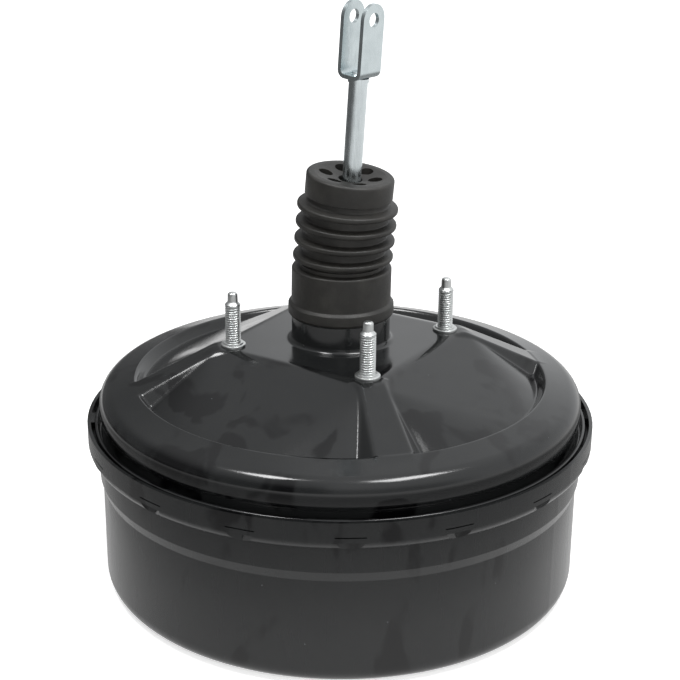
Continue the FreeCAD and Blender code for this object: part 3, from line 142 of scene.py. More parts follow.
walls = add_node(room, "ShaderNodeMix", {
    0: right_share, "A": left_wall, "B": 1.0}).outputs["Result"]
behind_camera = add_node(room, "ShaderNodeMapRange", {
    "Value": frontward, "From Min": 0.35, "From Max": 0.8, "To Min": 1.0, "To Max": 0.42,
}, interpolation_type="SMOOTHSTEP").outputs[0]
overhead = add_node(room, "ShaderNodeMapRange", {
    "Value": upward, "From Min": 0.30, "From Max": 0.65}).outputs[0]
front = add_node(room, "ShaderNodeMix", {
    0: overhead, "A": behind_camera, "B": 1.0}).outputs["Result"]
mirrored = add_node(room, "ShaderNodeMath", {0: walls, 1: front}, operation="MULTIPLY")
falling = add_node(room, "ShaderNodeMath", {0: mirrored.outputs[0], 1: 0.5},
                   operation="MULTIPLY")
paths = add_node(room, "ShaderNodeLightPath")
white = add_node(room, "ShaderNodeBackground", {
    "Color": (1.0, 1.0, 1.0, 1.0), "Strength": 1.0})
mirrored_room = add_node(room, "ShaderNodeBackground", {
    "Color": (0.97, 0.985, 1.0, 1.0), "Strength": mirrored.outputs[0]})
falling_light = add_node(room, "ShaderNodeBackground", {
    "Color": (1.0, 1.0, 1.0, 1.0), "Strength": falling.outputs[0]})
seen = add_node(room, "ShaderNodeMath", {
    0: paths.outputs["Is Camera Ray"], 1: paths.outputs["Is Transmission Ray"],
}, operation="MAXIMUM")
around = add_node(room, "ShaderNodeMixShader", {
    0: paths.outputs["Is Glossy Ray"], 1: falling_light.outputs[0],
    2: mirrored_room.outputs[0]})
surround = add_node(room, "ShaderNodeMixShader", {
    0: seen.outputs[0], 1: around.outputs[0], 2: white.outputs[0]})
add_node(room, "ShaderNodeOutputWorld", {"Surface": surround.outputs[0]})
bpy.context.scene.view_settings.view_transform = "Standard"
print("the room has", len(room.nodes), "nodes")

# %% [markdown]
# ## Lamps
# Two softboxes hang overhead, one to the left and one to the right. Their mirror images
# draw two fine bright lines along each bend of the pressing, with a gap between them, so
# the boxes are small and strong. Two wide panels only fill the shade, and the enamel
# doesn't mirror them. Each line below gives a lamp's place, width and height in metres,
# and its power in watts.


# %% Lamps
def soft_panel(name, place, width, height, power, mirrored_too):
    """A rectangular area lamp that faces the middle of the booster."""
    lamp = bpy.data.lights.new(name, "AREA")
    lamp.shape = "RECTANGLE"
    lamp.size, lamp.size_y = width, height
    lamp.energy = power
    panel = bpy.data.objects.new(name, lamp)
    bpy.context.collection.objects.link(panel)
    place, target = Vector(place), Vector((0.0, 0.0, 0.11))
    turn = (target - place).to_track_quat("-Z", "Y").to_matrix().to_4x4()
    panel.matrix_world = Matrix.Translation(place) @ turn
    panel.visible_glossy = mirrored_too
    return panel


soft_panel("left_softbox", (-0.27, -0.41, 1.335), 0.34, 0.30, 6.2, True)
soft_panel("right_softbox", (0.49, 0.02, 1.33), 0.56, 0.28, 8.5, True)
soft_panel("right_panel", (0.70, -1.00, 0.60), 0.8, 1.1, 9.0, False)
soft_panel("left_panel", (-0.95, -0.75, 0.75), 0.9, 1.1, 0.8, False)
print("four lamps hang round the booster")

# %% [markdown]
# ## Paper floor
# The camera sees the paper a little brighter than the lamps make it, and brighter still
# far off, which keeps it white and leaves a faint shadow. Mirrored rays don't see the lit
# paper: for them the floor glows with painted light and shade. Near the booster the glow is
# white, with painted shade on the left and towards the sheet's edge. Past the sheet the
# painted glow is dark on the far left, dim close to the sheet, and bright far off, where
# the plated rod mirrors it.

# %% Paper floor
floor_mesh = bpy.data.meshes.new("floor")
sheet = bmesh.new()
bmesh.ops.create_grid(sheet, x_segments=1, y_segments=1, size=6.0)
sheet.to_mesh(floor_mesh)
sheet.free()
floor = bpy.data.objects.new("floor", floor_mesh)
floor.location.z = -0.0004
bpy.context.collection.objects.link(floor)
paper, tree, output = new_material("white_paper_sweep")
place = add_node(tree, "ShaderNodeTexCoord").outputs["Object"]
distance = add_node(tree, "ShaderNodeVectorMath", {0: place}, operation="LENGTH")
off_sheet = add_node(tree, "ShaderNodeMapRange", {
    "Value": distance.outputs["Value"], "From Min": 0.25, "From Max": 0.34,
}, interpolation_type="SMOOTHSTEP")
to_right = add_node(tree, "ShaderNodeVectorMath", {
    0: place, 1: TO_RIGHT}, operation="DOT_PRODUCT")
# Painted shade for mirrored rays: the paper's glow is darker on the left and towards the
# sheet's edge.
sheet_side = add_node(tree, "ShaderNodeMapRange", {
    "Value": to_right.outputs["Value"], "From Min": -0.20, "From Max": 0.02,
    "To Min": 0.75, "To Max": 1.0})
sheet_reach = add_node(tree, "ShaderNodeMapRange", {
    "Value": distance.outputs["Value"], "From Min": 0.17, "From Max": 0.25,
    "To Min": 1.00, "To Max": 0.58})
sheet_light = add_node(tree, "ShaderNodeMath", {
    0: sheet_side.outputs[0], 1: sheet_reach.outputs[0]}, operation="MULTIPLY")
# Painted light and shade for mirrored rays past the sheet: dark on the far left, dim close to
# the sheet, bright far off.
painted_far_side = add_node(tree, "ShaderNodeMapRange", {
    "Value": to_right.outputs["Value"], "From Min": -0.70, "From Max": -0.52,
    "To Min": 0.12, "To Max": 1.0}, interpolation_type="SMOOTHSTEP")
painted_far_reach = add_node(tree, "ShaderNodeMapRange", {
    "Value": distance.outputs["Value"], "From Min": 0.38, "From Max": 0.68,
    "To Min": 0.26, "To Max": 1.0})
painted_far_glow = add_node(tree, "ShaderNodeMath", {
    0: painted_far_side.outputs[0], 1: painted_far_reach.outputs[0]}, operation="MULTIPLY")
in_mirror = add_node(tree, "ShaderNodeMix", {
    0: off_sheet.outputs[0], "A": sheet_light.outputs[0], "B": painted_far_glow.outputs[0]})
# The floor glows with this painted light and shade only for mirrored rays.
reflected = add_node(tree, "ShaderNodeEmission", {
    "Color": (1.0, 1.0, 1.0, 1.0), "Strength": in_mirror.outputs["Result"]})
matt = add_node(tree, "ShaderNodeBsdfDiffuse", {"Color": linear("#f4f4f4")})
lift = add_node(tree, "ShaderNodeMapRange", {
    "Value": distance.outputs["Value"], "From Min": 0.3, "From Max": 1.2,
    "To Min": 0.55, "To Max": 1.0})
bright = add_node(tree, "ShaderNodeEmission", {
    "Color": (1.0, 1.0, 1.0, 1.0), "Strength": lift.outputs[0]})
lit_paper = add_node(tree, "ShaderNodeAddShader", {0: matt.outputs[0], 1: bright.outputs[0]})
paths = add_node(tree, "ShaderNodeLightPath")
seen = add_node(tree, "ShaderNodeMath", {
    0: paths.outputs["Is Camera Ray"], 1: paths.outputs["Is Transmission Ray"],
}, operation="MAXIMUM")
not_seen = add_node(tree, "ShaderNodeMixShader", {
    0: paths.outputs["Is Glossy Ray"], 1: matt.outputs[0], 2: reflected.outputs[0]})
shown = add_node(tree, "ShaderNodeMixShader", {
    0: seen.outputs[0], 1: not_seen.outputs[0], 2: lit_paper.outputs[0]})
tree.links.new(shown.outputs[0], output.inputs["Surface"])
floor_mesh.materials.append(paper)
print("the floor is in place")

# %% [markdown]
# ## Black enamel
# Both shells are deep-drawn steel, dipped in a black electrophoretic enamel and stoved.
# Such a coat is a few hundredths of a millimetre thick: it is glossy, follows every draw
# line, and has a faint orange peel. Storage leaves a thin grey film on it. Hands and packing
# have wiped dark places into that film, and there is a little dust. Dust is drawn a few
# times as coarse as it is.


# %% Black enamel
def enamel(name, patch, offset, gloss, streaks):
    """Stoved black enamel; patch is the size in metres of its wiped places along X, Y, Z."""
    material, tree, output = new_material(name)
    place = add_node(tree, "ShaderNodeTexCoord").outputs["Object"]
    spread = add_node(tree, "ShaderNodeMapping", {
        "Vector": place, "Location": offset, "Scale": tuple(1.0 / size for size in patch)})
    patches = add_node(tree, "ShaderNodeTexNoise", {
        "Vector": spread.outputs[0], "Scale": 1.0, "Detail": 3.0, "Roughness": 0.5,
        "Distortion": 0.4})
    wiped = add_node(tree, "ShaderNodeMapRange", {
        "Value": patches.outputs["Fac"], "From Min": 0.55, "From Max": 0.62},
        interpolation_type="SMOOTHSTEP")
    cloud = add_node(tree, "ShaderNodeTexNoise", {
        "Vector": place, "Scale": 1.0 / 0.012, "Detail": 5.0, "Roughness": 0.65})
    film = add_node(tree, "ShaderNodeMix", {
        0: cloud.outputs["Fac"], "A": linear("#151617"), "B": linear("#1d1e1e"),
    }, data_type="RGBA")
    ground = add_node(tree, "ShaderNodeMix", {
        0: wiped.outputs[0], "A": film.outputs["Result"], "B": linear("#050506"),
    }, data_type="RGBA")
    specks = add_node(tree, "ShaderNodeTexVoronoi", {
        "Vector": place, "Scale": 1.0 / 0.0065, "Randomness": 1.0})
    chosen = add_node(tree, "ShaderNodeSeparateColor", {0: specks.outputs["Color"]})
    small = add_node(tree, "ShaderNodeMapRange", {
        "Value": specks.outputs["Distance"], "From Min": 0.04, "From Max": 0.06,
        "To Min": 1.0, "To Max": 0.0})
    some = add_node(tree, "ShaderNodeMath", {0: chosen.outputs[0], 1: 0.88},
                    operation="GREATER_THAN")
    dust = add_node(tree, "ShaderNodeMath", {0: small.outputs[0], 1: some.outputs[0]},
                    operation="MULTIPLY")
    colour = add_node(tree, "ShaderNodeMix", {
        0: dust.outputs[0], "A": ground.outputs["Result"], "B": linear("#4a4d4f"),
    }, data_type="RGBA")
    tall = add_node(tree, "ShaderNodeMapping", {
        "Vector": place, "Scale": (700.0, 700.0, 25.0)})
    drawn = add_node(tree, "ShaderNodeTexNoise", {
        "Vector": tall.outputs[0], "Scale": 1.0, "Detail": 3.0, "Roughness": 0.6})
    line = add_node(tree, "ShaderNodeMath", {0: drawn.outputs["Fac"], 1: streaks},
                    operation="MULTIPLY")
    film_gloss = add_node(tree, "ShaderNodeMapRange", {
        "Value": wiped.outputs[0], "To Min": gloss + 0.05, "To Max": gloss})
    rough = add_node(tree, "ShaderNodeMath", {
        0: film_gloss.outputs[0], 1: line.outputs[0]}, operation="ADD")
    peel = add_node(tree, "ShaderNodeTexNoise", {
        "Vector": place, "Scale": 1.0 / 0.0014, "Detail": 2.0})
    wave = add_node(tree, "ShaderNodeTexNoise", {
        "Vector": place, "Scale": 1.0 / 0.022, "Detail": 1.0})
    fine = add_node(tree, "ShaderNodeBump", {
        "Height": peel.outputs["Fac"], "Distance": 0.00002, "Strength": 0.35})
    marks = add_node(tree, "ShaderNodeBump", {
        "Height": drawn.outputs["Fac"], "Distance": 0.00003, "Strength": 0.5,
        "Normal": fine.outputs[0]})
    bump = add_node(tree, "ShaderNodeBump", {
        "Height": wave.outputs["Fac"], "Distance": 0.00015, "Strength": 0.5,
        "Normal": marks.outputs[0]})
    shader = add_node(tree, "ShaderNodeBsdfPrincipled", {
        "Base Color": colour.outputs["Result"], "Roughness": rough.outputs[0],
        "IOR": 1.5, "Normal": bump.outputs[0]})
    tree.links.new(shader.outputs[0], output.inputs["Surface"])
    return material


cover_enamel = enamel("stoved_black_enamel_cover", (0.030, 0.030, 0.030), (0.7, 0.2, 0.0),
                      0.10, 0.02)
can_enamel = enamel("stoved_black_enamel_can", (0.024, 0.024, 0.060), (0.3, 0.1, 0.0),
                    0.17, 0.08)
print("enamels:", cover_enamel.name, can_enamel.name)

# %% [markdown]
# ## Rubber
# The boot is moulded EPDM rubber. Its mould was spark eroded, which leaves a fine even
# grain, so it scatters light and shows no clear reflection. A faint bloom of wax makes it
# paler in places. The seals inside are smoother nitrile rubber.


# %% Rubber
def rubber(name, dark, pale, roughness, grain):
    """Moulded rubber with a grain of the given size in metres."""
    material, tree, output = new_material(name)
    place = add_node(tree, "ShaderNodeTexCoord").outputs["Object"]
    cloud = add_node(tree, "ShaderNodeTexNoise", {
        "Vector": place, "Scale": 1.0 / 0.012, "Detail": 4.0, "Roughness": 0.6})
    bloom = add_node(tree, "ShaderNodeMapRange", {
        "Value": cloud.outputs["Fac"], "From Min": 0.4, "From Max": 0.7})
    colour = add_node(tree, "ShaderNodeMix", {
        0: bloom.outputs[0], "A": linear(dark), "B": linear(pale)}, data_type="RGBA")
    pits = add_node(tree, "ShaderNodeTexNoise", {
        "Vector": place, "Scale": 1.0 / grain, "Detail": 3.0, "Roughness": 0.7})
    bump = add_node(tree, "ShaderNodeBump", {
        "Height": pits.outputs["Fac"], "Distance": 0.00012, "Strength": 0.55})
    rough = add_node(tree, "ShaderNodeMapRange", {
        "Value": pits.outputs["Fac"], "From Min": 0.3, "From Max": 0.7,
        "To Min": roughness - 0.06, "To Max": roughness + 0.06})
    shader = add_node(tree, "ShaderNodeBsdfPrincipled", {
        "Base Color": colour.outputs["Result"], "Roughness": rough.outputs[0],
        "IOR": 1.5, "Normal": bump.outputs[0]})
    tree.links.new(shader.outputs[0], output.inputs["Surface"])
    return material


boot_rubber = rubber("spark_textured_epdm_rubber", "#1e1d1b", "#2b2a27", 0.50, 0.0009)
seal_rubber = rubber("nitrile_seal_rubber", "#161617", "#1e1f20", 0.42, 0.0006)
print("rubbers:", boot_rubber.name, seal_rubber.name)

# %% [markdown]
# ## Plated and bare steel
# Zinc plating is a bright grey metal with a faint blue cast. Rolling and turning leave
# fine lines under it. A metal's colour is its reflection, so the pattern goes mostly
# into the roughness. Studs are tumbled in bulk and come out duller than the rod.


# %% Plated and bare steel
def plated(name, bright, shade, roughness, stretch):
    """Metal with fine lines; stretch is the size in metres of the lines along X, Y and Z."""
    material, tree, output = new_material(name)
    place = add_node(tree, "ShaderNodeTexCoord").outputs["Object"]
    spread = tuple(1.0 / size for size in stretch)
    drawn_out = add_node(tree, "ShaderNodeMapping", {"Vector": place, "Scale": spread})
    lines = add_node(tree, "ShaderNodeTexNoise", {
        "Vector": drawn_out.outputs[0], "Scale": 1.0, "Detail": 4.0, "Roughness": 0.65})
    cloud = add_node(tree, "ShaderNodeTexNoise", {
        "Vector": place, "Scale": 1.0 / 0.007, "Detail": 3.0})
    colour = add_node(tree, "ShaderNodeMix", {
        0: cloud.outputs["Fac"], "A": linear(shade), "B": linear(bright)}, data_type="RGBA")
    rough = add_node(tree, "ShaderNodeMapRange", {
        "Value": lines.outputs["Fac"], "From Min": 0.3, "From Max": 0.7,
        "To Min": roughness - 0.07, "To Max": roughness + 0.09})
    bump = add_node(tree, "ShaderNodeBump", {
        "Height": lines.outputs["Fac"], "Distance": 0.00003, "Strength": 0.4})
    shader = add_node(tree, "ShaderNodeBsdfPrincipled", {
        "Base Color": colour.outputs["Result"], "Metallic": 1.0,
        "Roughness": rough.outputs[0], "Normal": bump.outputs[0]})
    tree.links.new(shader.outputs[0], output.inputs["Surface"])
    return material


rod_zinc = plated("bright_zinc_on_turned_steel", "#dfe6e8", "#c3cbcd", 0.24,
                  (0.0006, 0.0006, 0.012))
fork_zinc = plated("bright_zinc_on_pressed_sheet", "#d9e2e4", "#bcc6c8", 0.27,
                   (0.0015, 0.0015, 0.009))
stud_zinc = plated("tumbled_zinc_on_studs", "#dcdedd", "#c4c6c5", 0.36,
                   (0.0009, 0.0009, 0.0009))
oiled_steel = plated("oiled_pressed_steel", "#a6a7a8", "#7f8082", 0.38,
                     (0.002, 0.002, 0.006))
spring_steel = plated("shot_peened_spring_steel", "#8d8e90", "#6c6d70", 0.45,
                      (0.0008, 0.0008, 0.0008))
print("metals:", rod_zinc.name, fork_zinc.name, stud_zinc.name, oiled_steel.name)

# %% [markdown]
# ## Moulded plastics and felt
# The valve body is a glass-filled phenolic: dark brown, with short pale fibres in its
# skin. Guides and the check valve are natural nylon. The filter is a bonded felt ring.


# %% Moulded plastics and felt
def moulded(name, ground, fleck, fleck_size, roughness):
    """Plastic or felt: a ground colour with flecks of the given size in metres."""
    material, tree, output = new_material(name)
    place = add_node(tree, "ShaderNodeTexCoord").outputs["Object"]
    flecks = add_node(tree, "ShaderNodeTexNoise", {
        "Vector": place, "Scale": 1.0 / fleck_size, "Detail": 6.0, "Roughness": 0.75})
    share = add_node(tree, "ShaderNodeMapRange", {
        "Value": flecks.outputs["Fac"], "From Min": 0.5, "From Max": 0.72})
    colour = add_node(tree, "ShaderNodeMix", {
        0: share.outputs[0], "A": linear(ground), "B": linear(fleck)}, data_type="RGBA")
    bump = add_node(tree, "ShaderNodeBump", {
        "Height": flecks.outputs["Fac"], "Distance": 0.0001, "Strength": 0.4})
    shader = add_node(tree, "ShaderNodeBsdfPrincipled", {
        "Base Color": colour.outputs["Result"], "Roughness": roughness,
        "IOR": 1.5, "Normal": bump.outputs[0]})
    tree.links.new(shader.outputs[0], output.inputs["Surface"])
    return material


phenolic = moulded("glass_filled_phenolic", "#2b221b", "#4a3d31", 0.0012, 0.42)
nylon = moulded("natural_nylon", "#cfccc0", "#dbd8cd", 0.004, 0.45)
black_nylon = moulded("black_nylon", "#17181a", "#232427", 0.003, 0.4)
felt = moulded("bonded_felt", "#6e6a60", "#8c887c", 0.0008, 0.95)
print("plastics:", phenolic.name, nylon.name, black_nylon.name, felt.name)

# %% [markdown]
# ## Finishes of the CAD pieces
# Pieces whose solid is already right keep it and only get their finish. Most of them sit
# inside the drum, where they show when the model is cut open.

# %% Finishes of the CAD pieces
FINISHES = {
    "front_shell": can_enamel, "rear_shell": cover_enamel, "dust_boot": boot_rubber,
    "mounting_studs": stud_zinc, "master_cylinder_studs": stud_zinc,
    "input_rod": rod_zinc, "clevis_fork": fork_zinc,
    "stud_plate": oiled_steel, "front_plate": oiled_steel, "seal_retainer": oiled_steel,
    "diaphragm_plate": oiled_steel, "output_rod": oiled_steel, "output_rod_tip": oiled_steel,
    "output_rod_retainer": oiled_steel, "poppet_retainer": oiled_steel,
    "stop_key": oiled_steel, "valve_plunger": oiled_steel, "spring_seat": oiled_steel,
    "check_valve_spring": spring_steel, "poppet_spring": spring_steel,
    "return_spring": spring_steel, "input_return_spring": spring_steel,
    "front_seal": seal_rubber, "rear_seal": seal_rubber, "vacuum_grommet": seal_rubber,
    "check_valve_disc": seal_rubber, "diaphragm": seal_rubber, "diaphragm_rim": seal_rubber,
    "reaction_disc": seal_rubber, "poppet_valve": seal_rubber,
    "front_seal_retainer": nylon, "rear_bearing": nylon, "valve_body": phenolic,
    "check_valve_body": black_nylon, "check_valve_cap": black_nylon,
    "silencer": felt, "air_filter": felt,
}
for node_name, material in FINISHES.items():
    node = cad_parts[node_name]
    for slot_number in range(len(node.material_slots)):
        node.material_slots[slot_number].material = material
print(len(FINISHES), "of", len(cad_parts), "nodes have their finish")

# %% [markdown]
# ## Building pieces
# Most new pieces are turned about the booster's axis. A profile of a few points in the
# X-Z plane is spun a full turn, the seam is merged, and the result is shaded smooth.
# Sharp corners get a real rounding in the profile, because a real pressing has no edge.


# %% Building pieces
def rounded_profile(corners, closed=True):
    """Profile points from (radius, height, rounding) corners in millimetres."""
    points = []
    count = len(corners)
    for i, (radius, height, rounding) in enumerate(corners):
        here = Vector((radius, height))
        ends = not closed and i in (0, count - 1)
        if rounding <= 0.0 or ends:
            points.append(here)
            continue
        before = Vector(corners[i - 1][:2]) - here
        after = Vector(corners[(i + 1) % count][:2]) - here
        half_angle = before.angle(after) / 2.0
        reach = rounding / math.tan(half_angle)
        start, end = here + before.normalized() * reach, here + after.normalized() * reach
        middle = here + (before.normalized() + after.normalized()).normalized() * (
            rounding / math.sin(half_angle))
        first, last = start - middle, end - middle
        sweep = first.angle_signed(last)
        steps = max(2, int(abs(math.degrees(sweep)) / 12.0) + 1)
        for step in range(steps + 1):
            turned = first.copy()
            turned.rotate(Matrix.Rotation(-sweep * step / steps, 2))
            points.append(middle + turned)
    return points


def spun(mesh, points, segments, closed=True):
    """Spin profile points, in millimetres, once round Z into the bmesh."""
    verts = [mesh.verts.new((p.x * MM, 0.0, p.y * MM)) for p in points]
    edges = [mesh.edges.new(pair) for pair in zip(verts, verts[1:])]
    if closed:
        edges.append(mesh.edges.new((verts[-1], verts[0])))
    bmesh.ops.spin(mesh, geom=verts + edges, cent=(0.0, 0.0, 0.0), axis=(0.0, 0.0, 1.0),
                   angle=2.0 * math.pi, steps=segments, use_merge=True)
    bmesh.ops.remove_doubles(mesh, verts=mesh.verts, dist=1e-7)


def finished_piece(name, mesh, material, body, slot_name, *nodes):
    """Turn a bmesh into a smooth piece that rides on a body and stands for CAD nodes."""
    bmesh.ops.recalc_face_normals(mesh, faces=mesh.faces)
    for face in mesh.faces:
        face.smooth = True
    data = bpy.data.meshes.new(name)
    mesh.to_mesh(data)
    mesh.free()
    data.set_sharp_from_angle(angle=math.radians(42.0))
    data.materials.append(material)
    piece = bpy.data.objects.new(name, data)
    bpy.context.collection.objects.link(piece)
    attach(piece, body)
    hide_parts(*nodes)
    print(name, "has", len(data.polygons), "faces")
    return piece


# %% [markdown]
# ## Rear shell
# The cover is one pressing. From the collar outwards it has a square plateau that carries
# the studs, four sloping panels, a step up to a flat ring, and a full round shoulder. Four
# spurs run down the corners to stiffen it. A turned blank gives the round parts, and each
# of its points is then lifted to the height of the pressed form at that place.


# %% Rear shell
SHEET = 1.8                                       # all in millimetres, slopes as ratios
PLATEAU_HALF, PLATEAU_HEIGHT = 47.5, 130.2
PANEL_SLOPE = 0.445
FOOT_RADIUS, FOOT_HEIGHT = 103.0, 105.5           # lower edge of the panels
RING_RADIUS, RING_HEIGHT, RING_FALL = 106.9, 110.8, 0.268
SPUR_START, SPUR_DROP = 66.0, 19.45               # from the axis, and down to the ring
SPUR_HALF, SPUR_SPREAD, FLANK_SLOPE = 6.0, 3.0, 1.05


def softer_min(a, b, blend):
    """The lower of two heights, with their meeting line rounded."""
    share = max(0.0, min(1.0, 0.5 + 0.5 * (b - a) / blend))
    return b + (a - b) * share - blend * share * (1.0 - share)


def softer_max(a, b, blend):
    """The higher of two heights, with their meeting line rounded."""
    return -softer_min(-a, -b, blend)


def panel_height(x, y):
    """Height of a sloping panel: flat between the plateau and the foot, conical beside."""
    wide, deep = sorted((abs(x), abs(y)))
    if wide < PLATEAU_HALF * (FOOT_RADIUS - deep) / (FOOT_RADIUS - PLATEAU_HALF):
        return PLATEAU_HEIGHT - PANEL_SLOPE * (deep - PLATEAU_HALF)
    corner = Vector((PLATEAU_HALF, PLATEAU_HALF))
    ray = Vector((wide, deep)) - corner
    along = corner.dot(ray)
    reach = max(ray.length_squared, 1e-6)
    share = (math.sqrt(along * along + reach * (FOOT_RADIUS ** 2 - corner.length_squared))
             - along) / reach
    return PLATEAU_HEIGHT - (PLATEAU_HEIGHT - FOOT_HEIGHT) / max(share, 0.3)


def pressed_height(x, y):
    """Height in millimetres of the cover's outside at a place."""
    radius = math.hypot(x, y)
    height = softer_min(PLATEAU_HEIGHT, panel_height(x, y), 1.4)
    diagonal = (abs(x) + abs(y)) / math.sqrt(2.0)
    beside = abs(abs(x) - abs(y)) / math.sqrt(2.0)
    share = (diagonal - SPUR_START) / (RING_RADIUS - SPUR_START)
    if share > -0.15:
        held = max(0.0, share)
        crest = PLATEAU_HEIGHT - 0.05 - SPUR_DROP * share
        flank = crest - FLANK_SLOPE * (beside - SPUR_HALF - SPUR_SPREAD * held)
        spur = softer_min(softer_min(crest, flank, 1.2), PLATEAU_HEIGHT, 1.0)
        height = softer_max(height, spur, 0.9)
    step = FOOT_HEIGHT + (radius - FOOT_RADIUS) * (
        RING_HEIGHT - FOOT_HEIGHT) / (RING_RADIUS - FOOT_RADIUS)
    ring = RING_HEIGHT - (radius - RING_RADIUS) * RING_FALL
    return softer_max(height, softer_min(step, ring, 1.6), 1.4)


def pressed_rings(inner, outer, gap):
    """Radii of the blank's rings, closer together where the step to the flat ring is."""
    radii = [inner]
    while radii[-1] < outer:
        radii.append(radii[-1] + gap * (0.5 if 99.0 < radii[-1] < 110.0 else 1.0))
    return radii[:-1] + [outer]


SPOKES = 90                                       # in each quarter of the cover
blank = rounded_profile([
    (21.2, 158.0, 0.0), (23.0, 158.0, 0.5), (23.0, 144.9, 0.4), (25.4, 144.1, 0.8),
    (25.4, PLATEAU_HEIGHT, 2.6), (28.8, PLATEAU_HEIGHT, 0.0)])
TO_LIFT = 200.0                                   # marks points that get their height later
blank += [Vector((radius, TO_LIFT)) for radius in pressed_rings(29.0, 119.0, 1.0)]
blank += rounded_profile([
    (119.2, 107.5, 0.0), (125.8, 105.7, 8.5), (125.8, 94.4, 1.5), (124.2, 91.6, 1.5),
    (124.2, 84.0, 1.4), (126.9, 84.0, 1.2), (126.9, 89.4, 0.5), (128.7, 89.4, 0.8),
    (128.7, 82.2, 2.4), (122.4, 82.2, 0.5), (122.4, 92.0, 0.0), (124.0, 98.0, 0.0),
    (123.6, 103.4, 2.5), (118.4, 105.6, 0.0)], closed=False)
blank += [Vector((radius, -TO_LIFT)) for radius in reversed(pressed_rings(29.0, 118.0, 1.6))]
blank += rounded_profile([
    (28.0, 128.4, 0.0), (23.5, 128.4, 0.5), (23.5, 142.3, 1.2), (21.2, 142.6, 0.0)],
    closed=False)
cover = bmesh.new()
spun(cover, blank, 4 * SPOKES)
print("cover blank has", len(cover.verts), "points")

# %% [markdown]
# The blank's rings are a millimetre or two apart, and its spokes are evenly spread. Each
# quarter has one spur on its diagonal. Where spokes run beside a spur's flank instead of
# across it, the flank stays crisp with few faces, so the spokes are drawn together there.

# %% Rear shell: lift the blank to its pressed form
HALF_SPOKES = SPOKES // 2
NEAR_SPOKES = 25                                  # on each side of a spur's diagonal


def spoke_angle(number, radius):
    """Angle within a quarter, in radians, of one of its spokes at a radius in mm."""
    side = 1.0 if number >= HALF_SPOKES else -1.0
    steps = abs(number - HALF_SPOKES)
    held = min(20.0, radius * 0.375)
    near = math.asin(held / radius)
    if steps <= NEAR_SPOKES:
        return math.pi / 4.0 + side * math.asin(held * steps / NEAR_SPOKES / radius)
    return math.pi / 4.0 + side * (
        near + (math.pi / 4.0 - near) * (steps - NEAR_SPOKES) / (HALF_SPOKES - NEAR_SPOKES))


for vert in cover.verts:
    radius = math.hypot(vert.co.x, vert.co.y) / MM
    around = math.atan2(vert.co.y, vert.co.x) % (2.0 * math.pi)
    step = round(around / (2.0 * math.pi) * 4 * SPOKES)
    quarter, number = divmod(step, SPOKES)
    angle = quarter * math.pi / 2.0 + spoke_angle(number, radius)
    x, y = radius * math.cos(angle), radius * math.sin(angle)
    if abs(vert.co.z) > 0.95 * TO_LIFT * MM:
        vert.co.z = (pressed_height(x, y) - (0.0 if vert.co.z > 0.0 else SHEET)) * MM
    vert.co.x, vert.co.y = x * MM, y * MM
finished_piece("rear_cover", cover, cover_enamel, "housing", "black_paint", "rear_shell")

# %% [markdown]
# ## Mounting studs
# Four collared M8 studs hold the booster to the firewall. Their thread is rolled, so crest
# and root are rounded, and each ends in a smooth dog point that guides the nut. A threaded
# rod can be cut with a swept profile. Here a plain turned rod gets rings a sixth of a
# millimetre apart, and each point moves in by the depth of the thread at its turn.

# %% Mounting studs
PITCH, STUD_RADIUS, STUD_HALF = 1.25, 4.0, 40.0   # M8, and half the studs' square
THREAD_LOW, THREAD_HIGH = 132.5, 152.5


def thread_depth(height, angle, low, high):
    """Depth of the rolled thread in mm; it fades in and out at its ends."""
    turn = (height / PITCH - angle / (2.0 * math.pi)) % 1.0
    flank = abs(2.0 * turn - 1.0)
    groove = max(0.0, min(1.0, (flank - 0.12) / 0.76))
    groove = groove * groove * (3.0 - 2.0 * groove)
    fade = max(0.0, min(1.0, (height - low) / 1.0, (high - height) / 0.8))
    return 0.62 * groove * fade


def threaded_stud(mesh, outline, low, high, place):
    """Spin one stud's outline, cut its thread between two heights and set it in place."""
    stud = bmesh.new()
    spun(stud, outline, 36, closed=False)
    for vert in stud.verts:
        radius = math.hypot(vert.co.x, vert.co.y)
        height = vert.co.z / MM
        if low < height < high and abs(radius - STUD_RADIUS * MM) < 1e-5:
            angle = math.atan2(vert.co.y, vert.co.x)
            share = 1.0 - thread_depth(height, angle, low, high) * MM / radius
            vert.co.x, vert.co.y = vert.co.x * share, vert.co.y * share
    bmesh.ops.translate(stud, verts=stud.verts, vec=Vector(place) * MM)
    part = bpy.data.meshes.new("stud_blank")
    stud.to_mesh(part)
    stud.free()
    mesh.from_mesh(part)
    bpy.data.meshes.remove(part)


rings = [Vector((STUD_RADIUS, THREAD_LOW + 0.1 + 0.16 * number)) for number in range(125)]
stud_outline = rounded_profile([
    (0.0, 127.0, 0.0), (6.4, 127.0, 0.4), (6.4, 131.3, 0.35), (5.2, 131.6, 0.0),
    (5.2, 132.3, 0.3), (STUD_RADIUS, 132.4, 0.0)], closed=False) + rings + rounded_profile([
        (STUD_RADIUS, 152.6, 0.0), (2.65, 154.1, 0.4), (2.55, 158.9, 1.5), (0.0, 158.9, 0.0)],
        closed=False)
studs = bmesh.new()
for x, y in ((-1, -1), (1, -1), (1, 1), (-1, 1)):
    place = (x * STUD_HALF, y * STUD_HALF, 0.0)
    threaded_stud(studs, stud_outline, THREAD_LOW, THREAD_HIGH, place)
finished_piece("threaded_mounting_studs", studs, stud_zinc, "housing", "zinc_plate",
               "mounting_studs")

# %% [markdown]
# ## Dust boot
# The boot keeps dirt off the valve body's neck. Its sleeve grips the cover's neck. On the
# real booster the sleeve stays still and the bellows above it folds up as the pedal goes
# down; here both pieces are built in one pose. The rod leans, so the bellows leans too, and
# both pieces go through one small bend.


# %% Dust boot: sleeve
LEAN_START, LEAN_RISE = 166.0, 51.0               # heights in millimetres
LEAN_SHIFT, LEAN_TILT = 0.0973, math.radians(6.9)


